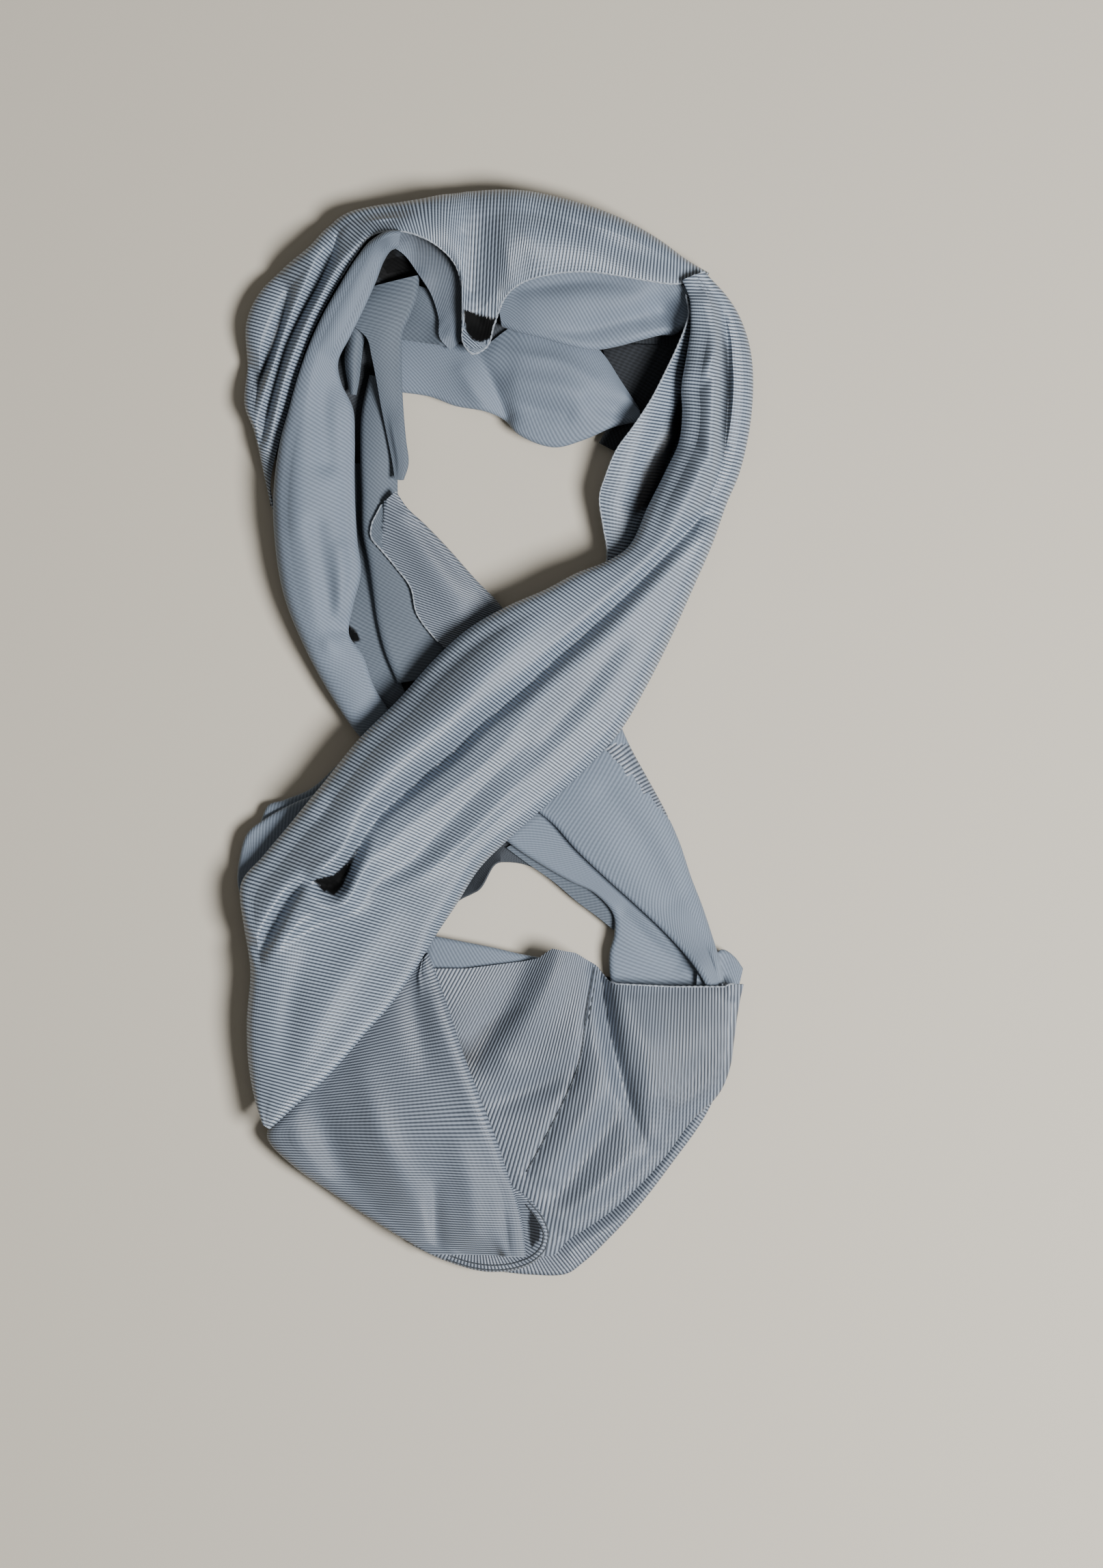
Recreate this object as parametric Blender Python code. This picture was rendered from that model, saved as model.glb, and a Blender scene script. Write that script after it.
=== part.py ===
"""Infinity scarf of thin knit, one band sewn into a loop and laid on a table as a figure eight.

Every stretch that shows is a thin wall of cloth: a table of sections gives its two edges and
heights, a table of folds gives its ridges and troughs, and each wall is laid over the ones
under it. The layers that stay hidden share one rounded body with a flat underside.
"""

import bpy
import numpy as np
from mathutils import Vector
from mathutils.bvhtree import BVHTree

for old in list(bpy.data.objects):
    bpy.data.objects.remove(old, do_unlink=True)

# Sizes in millimetres; x runs across the figure eight, y along it, z up from the table
WALL = 1.0
GAP = 0.4
LOWEST_TURN = 2.6
FLAP = 2.5
CELL = 1.0
MAP_X = (-100.0, 100.0)
MAP_Y = (-195.0, 195.0)
TURN_ANGLES = (42, 0, -55)
CLEAR_RADIUS = 2.6
CLEARANCE = 0.3
CENTRE = (0.14, 0.07)
SETTLE_PASSES = 5
LIFT_PASSES = 3
HIDDEN_GAP = 0.7
HIDDEN_ROWS = 26
HIDDEN_ACROSS = 6
EDGE_LIP = 0.6
MM = 0.001

# Sections of each stretch, from its start to its end:
# edge a (x, y, height), edge b (x, y, height), extra height halfway across
# An edge is (turn radius, deepest turn); radius 0 is a free cut edge
STRETCHES = (
    dict(name="pocket_layer", face="matte", along=6, across=3, edge_a=(0, 0), edge_b=(0, 0), sections=(
        (36, 133, 4.0, 63, 132, 5.0, 0.0),
        (40, 122, 3.9, 62, 120, 4.6, 0.0),
        (44, 111, 3.8, 57, 106, 4.2, 0.0),
        (38, 103.5, 3.8, 49, 99, 4.0, 0.0),
        (35.5, 99, 3.6, 44, 94.5, 3.8, 0.0),
    )),
    dict(name="inner_layer_top", face="matte", along=15, across=6, edge_a=(0, 0), edge_b=(2.0, 3.4), sections=(
        (-33, 137, 6.0, -33, 116.3, 5.4, 1.0),
        (-22, 136, 7.0, -22, 114.6, 5.8, 1.5),
        (-12, 132.5, 8.0, -13, 111.3, 6.2, 2.0),
        (-4, 131.5, 9.0, -3, 109.4, 6.6, 2.5),
        (4, 137, 9.0, 3.5, 106.5, 7.0, 3.0),
        (11, 141, 9.0, 8, 101.7, 8.0, 3.5),
        (20, 138.5, 9.0, 20, 97.2, 8.0, 4.0),
        (29, 135, 8.5, 30, 99.6, 8.0, 4.0),
        (37, 129, 7.0, 40, 104, 7.0, 3.0),
        (43, 120, 6.0, 46, 105.5, 6.4, 2.0),
        (49, 111, 5.6, 50, 106, 6.0, 0.5),
    )),
    dict(name="hood_inner_fold", face="matte", along=5, across=3, edge_a=(0, 0), edge_b=(1.6, 3.0), sections=(
        (-31, 154, 6.5, -22, 151, 6.5, 0.5),
        (-32, 146, 7.0, -17.5, 144, 6.5, 1.0),
        (-33, 139, 8.0, -16, 136, 7.0, 1.0),
        (-33, 134, 8.0, -16.5, 131.5, 7.0, 0.5),
    )),
    dict(name="crease_strip", face="matte", along=7, across=2, edge_a=(0, 0), edge_b=(0, 0), sections=(
        (-47, 54, 6.0, -42, 54, 6.0, 0.0),
        (-50.5, 42, 6.0, -39, 42, 6.0, 0.0),
        (-52, 34, 5.6, -37.5, 34, 6.0, 0.0),
        (-47, 25, 5.6, -35, 25, 5.6, 0.0),
        (-43, 16, 5.2, -31, 15, 5.2, 0.0),
        (-38, 6, 5.0, -27, 5, 5.0, 0.0),
    )),
    dict(name="second_strip", face="matte", along=12, across=3, edge_a=(2.2, 5.0), edge_b=(0, 0), sections=(
        (-42.7, 122, 7.0, -38, 121, 7.5, 0.0),
        (-45.2, 110, 8.0, -35, 110, 8.0, 1.0),
        (-45.7, 96, 9.0, -32.5, 97, 7.0, 1.5),
        (-45.4, 82, 9.5, -33, 84, 6.0, 1.5),
        (-45, 68, 9.5, -32, 69, 6.5, 1.5),
        (-43, 58, 9.5, -28, 58, 7.0, 1.0),
        (-41.5, 48, 9.0, -23, 48, 7.0, 1.0),
        (-40, 38, 8.5, -18, 38, 6.5, 1.0),
        (-37.5, 28, 8.0, -12, 30, 6.0, 0.5),
        (-33, 17, 7.0, -5, 22, 6.0, 0.0),
    )),
    dict(name="loop_fold", face="matte", along=6, across=4, edge_a=(0, 0), edge_b=(0, 0), sections=(
        (-51, 141, 9.0, -43, 138, 9.5, 2.5),
        (-50.5, 134, 9.0, -44.3, 133, 9.5, 2.5),
        (-51, 127, 8.5, -45.2, 127, 9.0, 2.5),
        (-50.3, 121, 8.0, -46, 120, 8.5, 2.0),
        (-49.2, 115.3, 7.5, -47.0, 115, 7.5, 0.8),
    )),
    dict(name="ribbed_wedge", face="ribbed", along=11, across=4, edge_a=(0, 0), edge_b=(3.5, 9.0), sections=(
        (-34.8, 86, 6.0, -32.8, 85, 5.5, 0.0),
        (-38, 78, 8.0, -28.5, 77.5, 6.5, 0.5),
        (-41.5, 71.5, 10.0, -23.5, 71.5, 7.0, 1.0),
        (-41.8, 66.5, 10.5, -19, 66.5, 7.5, 1.0),
        (-38, 61.5, 10.5, -14.8, 62, 7.5, 1.0),
        (-33, 56, 10.0, -10, 56.5, 7.5, 1.0),
        (-29, 49.5, 10.0, -5, 51, 7.5, 1.0),
        (-26.5, 42, 9.5, 0, 46, 7.5, 1.0),
        (-21.5, 34.5, 9.0, 5, 40, 7.0, 0.5),
        (-15, 27, 8.5, 11, 33, 6.5, 0.0),
    )),
    dict(name="inner_strip", face="matte", along=13, across=4, edge_a=(0, 0), edge_b=(2.2, 6.0), sections=(
        (-44, 151, 11.0, -25.5, 155.5, 12.0, 1.0),
        (-47, 146, 12.0, -26, 149, 12.0, 1.5),
        (-49, 140, 12.0, -28.5, 142, 12.0, 1.5),
        (-43.3, 134, 13.0, -31.2, 135.5, 11.0, 1.0),
        (-41.7, 128, 13.0, -31.5, 127, 10.0, 1.0),
        (-40, 119.5, 12.5, -31.3, 118, 10.0, 1.0),
        (-38.5, 111, 11.5, -30.8, 109, 9.0, 1.0),
        (-36.5, 101, 10.0, -30, 100, 8.0, 1.0),
        (-34.7, 92, 8.5, -29.2, 91, 7.0, 0.5),
        (-33.8, 86, 7.5, -30.8, 86, 7.0, 0.0),
    )),
    dict(name="hood_lip", face="matte", along=10, across=3, edge_a=(0, 0), edge_b=(0, 0), sections=(
        (-36, 170, 16.0, -34.8, 166, 14.0, 0.0),
        (-29, 168.7, 16.0, -30.5, 162, 12.0, 0.0),
        (-21.5, 165.2, 15.5, -26, 156, 10.0, 0.0),
        (-14.7, 159.5, 15.0, -21.5, 149, 9.0, 0.0),
        (-11.8, 151, 14.5, -19, 141, 9.0, 0.0),
        (-11.4, 141.5, 13.5, -18.5, 134, 8.5, 0.0),
        (-10.6, 133, 12.5, -15, 130, 8.5, 0.0),
    )),
    dict(name="top_turned_edge", face="matte", along=12, across=5, edge_a=(0, 0), edge_b=(2.2, 4.5), sections=(
        (1, 147, 13.0, 2.5, 138, 12.0, 0.0),
        (6, 153, 14.0, 8, 136, 12.5, 0.5),
        (15, 156, 14.5, 16, 134, 13.0, 1.0),
        (25, 158, 14.5, 25, 131.5, 13.0, 1.5),
        (33, 158.5, 14.5, 33, 130, 13.0, 1.5),
        (42, 157.5, 14.5, 42, 131.3, 13.0, 1.5),
        (50, 156, 14.5, 50, 133.5, 13.0, 1.0),
        (57, 155, 14.0, 57, 135.3, 12.0, 0.0),
        (63, 152, 13.0, 61.5, 134.5, 11.0, 0.0),
    )),
    dict(name="right_inner_wall", face="ribbed", along=16, across=4, edge_a=(0, 0), edge_b=(0, 0), sections=(
        (65, 148.5, 16.5, 68.5, 148.5, 13.0, 0.0),
        (66, 141.5, 17.0, 69.5, 141.5, 11.0, 0.0),
        (64.7, 137, 17.0, 69, 137, 10.0, 0.0),
        (62.5, 131.5, 17.0, 68, 131, 9.0, 0.5),
        (58, 122, 17.0, 66.5, 121, 8.0, 0.5),
        (53, 112.5, 16.5, 65, 111, 7.0, 1.0),
        (47, 103.5, 15.5, 64, 102, 6.0, 1.5),
        (41.5, 96, 14.0, 62.5, 93, 6.0, 1.5),
        (37.7, 87, 12.5, 58.5, 84.5, 6.0, 1.5),
        (35.7, 80, 11.5, 54, 76, 6.0, 1.5),
        (37, 70, 10.5, 50, 68, 7.0, 1.0),
        (38.3, 62, 10.0, 48, 60, 8.0, 0.5),
        (38, 55, 9.5, 48, 53, 8.5, 0.0),
    )),
    dict(name="outer_strand", face="ribbed", along=50, across=8, edge_a=(8.0, 40.0), edge_b=(0, 0), sections=(
        (73, 156.5, 12.0, 66, 153, 15.0, 0.0),
        (66, 160.5, 14.0, 61, 152, 17.0, 1.0),
        (57, 167, 16.0, 52, 153, 18.0, 1.5),
        (46, 173.5, 17.0, 42, 154.7, 18.0, 2.0),
        (34, 178.5, 17.0, 31, 156, 18.0, 2.5),
        (21, 182.3, 17.0, 19, 155, 18.0, 3.0),
        (10, 184.3, 17.0, 9, 152, 17.5, 3.0),
        (3, 184.6, 17.0, 4, 148, 17.0, 3.0),
        (-3, 184.5, 17.0, 0, 139, 16.0, 3.0),
        (-6, 184.2, 17.0, -3, 130.5, 15.0, 3.0),
        (-9, 184, 17.0, -7.5, 128.5, 15.0, 3.0),
        (-12, 183.6, 17.0, -10.5, 132, 15.0, 3.0),
        (-15, 183.2, 17.0, -11, 140, 16.0, 3.0),
        (-18, 182.7, 17.0, -11, 150, 17.0, 3.0),
        (-22, 182, 17.0, -13, 158, 18.0, 3.0),
        (-27, 181, 16.0, -19, 164.5, 19.0, 2.0),
        (-33, 180.2, 15.0, -27, 168.5, 20.0, 1.0),
        (-41, 179.3, 14.0, -35, 169.7, 19.0, 0.0),
        (-50, 177, 13.0, -42, 168, 16.0, 0.5),
        (-57, 172, 13.0, -48, 160.5, 13.0, 1.0),
        (-63, 165.5, 12.0, -54, 151, 11.0, 2.0),
        (-71, 159, 11.0, -59.5, 141, 10.0, 2.0),
        (-80, 150, 10.0, -64, 131, 9.5, 2.0),
        (-84.5, 140, 10.0, -67.5, 120, 9.0, 2.0),
        (-84.3, 125, 10.0, -70.5, 109, 9.0, 2.0),
        (-85, 111, 9.0, -73.5, 98, 8.5, 1.0),
        (-82, 103, 8.0, -75.5, 90, 8.0, 1.0),
        (-79, 90, 7.0, -76.3, 82, 7.0, 0.0),
        (-76.8, 80, 6.0, -75.5, 76, 6.0, 0.0),
    )),
    dict(name="left_panel", face="matte", along=22, across=6, edge_a=(5.0, 30.0), edge_b=(3.0, 9.0), sections=(
        (-30, 169.5, 19.0, -31, 165.5, 17.0, 0.0),
        (-36, 169.5, 19.5, -34.5, 164.5, 18.0, 1.0),
        (-41, 167, 19.0, -37, 160.5, 17.0, 1.5),
        (-46.5, 161, 17.0, -40, 153, 15.0, 2.5),
        (-52.5, 151.5, 15.5, -44, 144, 14.5, 3.0),
        (-58.5, 141, 14.5, -49, 134, 14.0, 3.0),
        (-63.3, 130.5, 13.5, -53, 126, 12.5, 3.0),
        (-67, 120, 13.0, -52, 119, 10.0, 4.0),
        (-70, 109, 12.5, -48, 110, 9.0, 5.0),
        (-72.5, 100, 12.0, -47.5, 100, 9.0, 6.0),
        (-74.5, 88, 12.0, -47.5, 88, 10.0, 6.0),
        (-75.3, 76, 12.0, -47.2, 76, 10.0, 6.0),
        (-74.8, 66, 12.0, -46.5, 65, 10.0, 6.0),
        (-73.5, 55, 12.0, -45.3, 55, 10.0, 5.0),
        (-70.5, 43, 11.0, -48, 43, 10.0, 4.0),
        (-66, 32, 11.0, -49.5, 34, 9.0, 3.0),
        (-60, 20, 10.0, -44.5, 26, 8.5, 2.0),
        (-54, 10, 9.0, -41, 16, 8.0, 2.0),
        (-47, 0, 8.0, -36, 8, 7.5, 1.0),
        (-39, -8, 7.0, -30, -1, 7.0, 0.0),
    )),
    dict(name="inner_under_layer", face="ribbed", along=7, across=2, edge_a=(0, 0), edge_b=(0, 0), sections=(
        (4, -39, 3.8, 12, -34, 3.8, 0.0),
        (10, -43.5, 3.8, 18, -38, 3.8, 0.0),
        (20, -50.5, 3.8, 28, -44, 3.8, 0.0),
        (28, -57.3, 3.8, 36, -50, 3.8, 0.0),
        (35, -62.5, 3.8, 44, -55, 3.8, 0.0),
        (40.5, -67, 3.8, 50, -62, 3.8, 0.0),
    )),
    dict(name="lower_inner_strip", face="matte", along=11, across=3, edge_a=(1.8, 3.2), edge_b=(0, 0), sections=(
        (3, -36, 6.6, 16, -24, 6.6, 0.0),
        (10, -41, 6.8, 24, -34, 7.0, 0.0),
        (18, -46, 6.8, 32, -41.5, 7.0, 0.0),
        (26, -50.5, 6.8, 40, -49, 7.0, 0.0),
        (34, -54.5, 7.0, 47, -55.5, 7.0, 0.0),
        (40, -61, 7.0, 52, -60, 7.0, 0.0),
        (40.7, -68, 7.0, 59, -66, 6.8, 0.5),
        (39, -75, 6.6, 67, -73, 6.4, 0.5),
        (39.2, -83, 6.2, 72, -81, 6.0, 0.0),
        (40.5, -90, 5.8, 74, -90, 5.6, 0.0),
    )),
    dict(name="cuff_back", face="matte", along=5, across=2, edge_a=(1.5, 3.0), edge_b=(0, 0), sections=(
        (69, -81, 6.0, 68, -94, 6.0, 0.0),
        (73, -77, 6.2, 72.5, -94, 6.0, 0.0),
        (77.5, -73.5, 6.2, 76.5, -94, 6.0, 0.0),
        (82, -76.3, 6.2, 80, -93, 6.0, 0.0),
        (84.6, -80, 6.0, 82, -91, 6.0, 0.0),
    )),
    dict(name="under_stretch_right", face="matte", along=12, across=4, edge_a=(6.0, 20.0), edge_b=(2.0, 3.2), sections=(
        (40, 10, 8.5, 8, -20, 8.5, 0.0),
        (46, -4, 9.0, 14, -26, 9.0, 1.0),
        (52, -15, 9.5, 20, -31, 10.0, 1.5),
        (58, -26, 9.5, 28, -40, 10.5, 2.0),
        (63, -37, 9.5, 38, -49.5, 10.5, 2.0),
        (67, -49, 9.5, 48, -58.5, 10.5, 2.0),
        (70.5, -58, 9.5, 57, -67, 10.5, 1.5),
        (73.5, -67, 9.5, 64, -74.5, 10.0, 1.0),
        (76.5, -77, 9.0, 69, -81, 9.5, 0.5),
        (78.5, -86, 8.5, 73, -88, 8.5, 0.0),
    )),
    dict(name="under_layer_left_a", face="matte", along=5, across=2, edge_a=(1.5, 3.0), edge_b=(0, 0), sections=(
        (-52, -9, 5.6, -44, -18, 5.6, 0.0),
        (-63, -19, 5.6, -55, -30, 5.6, 0.0),
        (-72, -22.7, 5.4, -64, -38, 5.4, 0.0),
        (-77.5, -24.8, 5.4, -72, -42, 5.4, 0.0),
        (-79.8, -30, 5.2, -77, -44, 5.2, 0.0),
    )),
    dict(name="under_layer_left_b", face="matte", along=7, across=2, edge_a=(1.8, 3.2), edge_b=(0, 0), sections=(
        (-62, -21, 8.6, -54, -32, 8.6, 0.0),
        (-70, -24.5, 8.6, -61, -40, 8.6, 0.0),
        (-78, -29, 8.4, -68, -48, 8.6, 0.0),
        (-84.5, -34.5, 8.0, -76, -54, 8.4, 0.0),
        (-86.8, -42, 7.4, -79, -60, 8.0, 0.0),
        (-87.6, -50.5, 6.8, -82, -64, 7.4, 0.0),
        (-86, -58, 6.4, -82.5, -68, 6.8, 0.0),
    )),
    dict(name="bottom_under_layer", face="ribbed", along=11, across=2, edge_a=(2.0, 6.0), edge_b=(0, 0), sections=(
        (79.2, -114, 5.6, 70, -110, 5.6, 0.0),
        (72.5, -129, 5.6, 62, -121, 5.6, 0.0),
        (60, -147, 5.6, 50, -138, 5.6, 0.0),
        (50, -160, 5.6, 38, -148, 5.6, 0.0),
        (40, -171, 5.6, 28, -158, 5.6, 0.0),
        (30, -180.5, 5.4, 19, -166, 5.4, 0.0),
        (24.5, -184.2, 5.4, 14, -171, 5.4, 0.0),
        (12, -184.5, 5.2, 8, -172, 5.2, 0.0),
        (0, -183.2, 5.2, 0, -173, 5.2, 0.0),
    )),
    dict(name="turned_strip", face="matte", along=6, across=2, edge_a=(1.5, 3.0), edge_b=(0, 0), sections=(
        (-28, -67, 6.0, -28, -83, 6.5, 0.0),
        (-20, -69, 6.2, -20, -82, 6.6, 0.0),
        (-10, -71, 6.4, -10, -82, 7.0, 0.0),
        (0, -73, 6.6, 0, -81, 7.0, 0.0),
        (10, -75.3, 6.6, 10, -79.5, 7.0, 0.0),
        (16, -76.3, 6.4, 16, -79, 6.6, 0.0),
    )),
    dict(name="bottom_right_stretch", face="ribbed", along=16, across=15, edge_a=(0, 0), edge_b=(5.0, 9.0),
         start=((0.0, 0.0), (0.14, 0.5), (0.32, 3.6), (0.365, 4.8), (0.41, 8.4), (0.484, 7.2), (0.548, 2.9),
                (0.575, -2.0), (0.603, -2.9), (0.776, -3.3), (0.94, -2.7), (1.0, 1.5)),
         sections=(
        (-25, -80, 9.0, 84.5, -83.5, 11.0, 2.0),
        (-23, -88, 9.5, 83, -92.5, 11.5, 3.0),
        (-20, -97, 9.5, 81.5, -104, 11.5, 4.0),
        (-17, -107, 9.5, 80, -114, 11.0, 4.0),
        (-13, -118, 9.5, 76, -123, 11.0, 4.0),
        (-9, -128, 9.0, 67, -131.8, 11.0, 3.5),
        (-4, -139, 8.8, 58, -144, 10.5, 3.0),
        (0, -149, 8.5, 49, -154, 10.0, 2.5),
        (4, -158, 8.0, 39, -163, 9.5, 2.0),
        (7, -166, 7.8, 31, -168.5, 9.0, 1.5),
        (9, -173, 7.5, 25.5, -172, 8.5, 1.0),
        (11, -179, 7.0, 21, -177, 7.5, 0.5),
    )),
    dict(name="hem_roll", face="ribbed", along=11, across=2, edge_a=(1.6, 3.4), edge_b=(0, 0), sections=(
        (-28, -174.6, 6.0, -24, -171, 6.0, 0.0),
        (-16, -180, 6.4, -14, -175, 6.4, 0.0),
        (0, -183.3, 8.8, -1, -177, 8.8, 0.0),
        (9.5, -181.8, 9.6, 6, -176, 9.6, 0.0),
        (15.5, -178, 10.6, 10, -173, 10.6, 0.0),
        (18.6, -171, 11.4, 13, -169, 11.4, 0.0),
        (16, -164, 11.8, 11.5, -163.5, 11.8, 0.0),
        (12.5, -160.5, 11.8, 9.5, -160, 11.8, 0.0),
    )),
    dict(name="bottom_left_panel", face="ribbed", along=14, across=9, edge_a=(7.0, 20.0), edge_b=(4.5, 5.0), sections=(
        (-28, -80, 10.0, -22.5, -74.5, 11.0, 0.0),
        (-40, -92, 10.0, -18.5, -85, 13.0, 1.0),
        (-52, -107, 10.0, -14, -98, 15.0, 2.0),
        (-63, -119, 10.0, -9.5, -111, 16.0, 2.5),
        (-74, -130, 9.0, -4.5, -124, 16.5, 3.0),
        (-77.5, -137.5, 8.5, 0.5, -137, 16.5, 3.0),
        (-68.5, -147.3, 9.0, 4.5, -149, 16.0, 3.0),
        (-55.5, -156.5, 9.5, 7.5, -158, 15.5, 3.0),
        (-42.5, -165, 9.5, 9.5, -166.5, 15.0, 2.0),
        (-30, -172.5, 9.0, 10.3, -173, 13.5, 1.0),
        (-22, -177, 8.5, 10.8, -177.5, 11.0, 0.0),
    )),
    dict(name="front_strand", face="ribbed", along=42, across=10, edge_a=(6.0, 14.0), edge_b=(7.0, 30.0), sections=(
        (68, 150.8, 15.0, 74.5, 153.8, 13.0, 1.0),
        (66.5, 145, 16.0, 80, 146.3, 14.0, 2.0),
        (66.2, 138, 16.0, 84.8, 138, 15.0, 3.0),
        (65, 128, 16.0, 87.3, 129, 16.0, 4.0),
        (63.2, 117, 15.5, 88, 118, 16.5, 5.0),
        (63.5, 108, 15.0, 87.3, 107, 16.5, 5.0),
        (62.5, 99, 15.0, 85.8, 98, 16.5, 5.0),
        (58, 89, 15.0, 83.2, 88, 17.0, 6.0),
        (52, 77, 15.0, 79, 78, 17.0, 6.0),
        (46, 64, 16.0, 74, 64, 17.5, 6.0),
        (38, 58.2, 17.5, 67, 48, 18.5, 6.0),
        (28, 54.3, 19.0, 60.3, 33, 19.5, 6.0),
        (17, 48.5, 20.0, 51.5, 15.5, 20.0, 6.0),
        (5, 43.3, 20.0, 43, 1, 20.0, 6.0),
        (-8, 36, 20.0, 31, -12, 19.0, 6.0),
        (-20, 25.5, 20.0, 17, -25, 18.0, 6.0),
        (-33, 11, 20.0, 5, -36, 17.0, 5.5),
        (-46, -2, 19.0, -5, -46, 16.5, 5.0),
        (-57, -15.5, 18.0, -13, -58.5, 16.0, 5.0),
        (-68, -29, 16.5, -20, -69, 16.0, 4.0),
        (-78.5, -41.5, 15.0, -27, -80.5, 16.0, 4.0),
        (-86, -51, 14.0, -35, -92, 16.0, 3.0),
        (-85, -66, 13.5, -43, -101, 16.0, 3.0),
        (-83, -80, 13.0, -51, -110.5, 16.0, 2.0),
        (-84.2, -98, 12.5, -59, -119, 15.5, 1.5),
        (-83.6, -113, 12.0, -67, -126, 14.5, 1.0),
        (-81, -126, 11.0, -73.5, -132, 13.0, 0.0),
        (-78.8, -132.5, 10.0, -76.2, -134.3, 11.0, 0.0),
    )),
)

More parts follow.
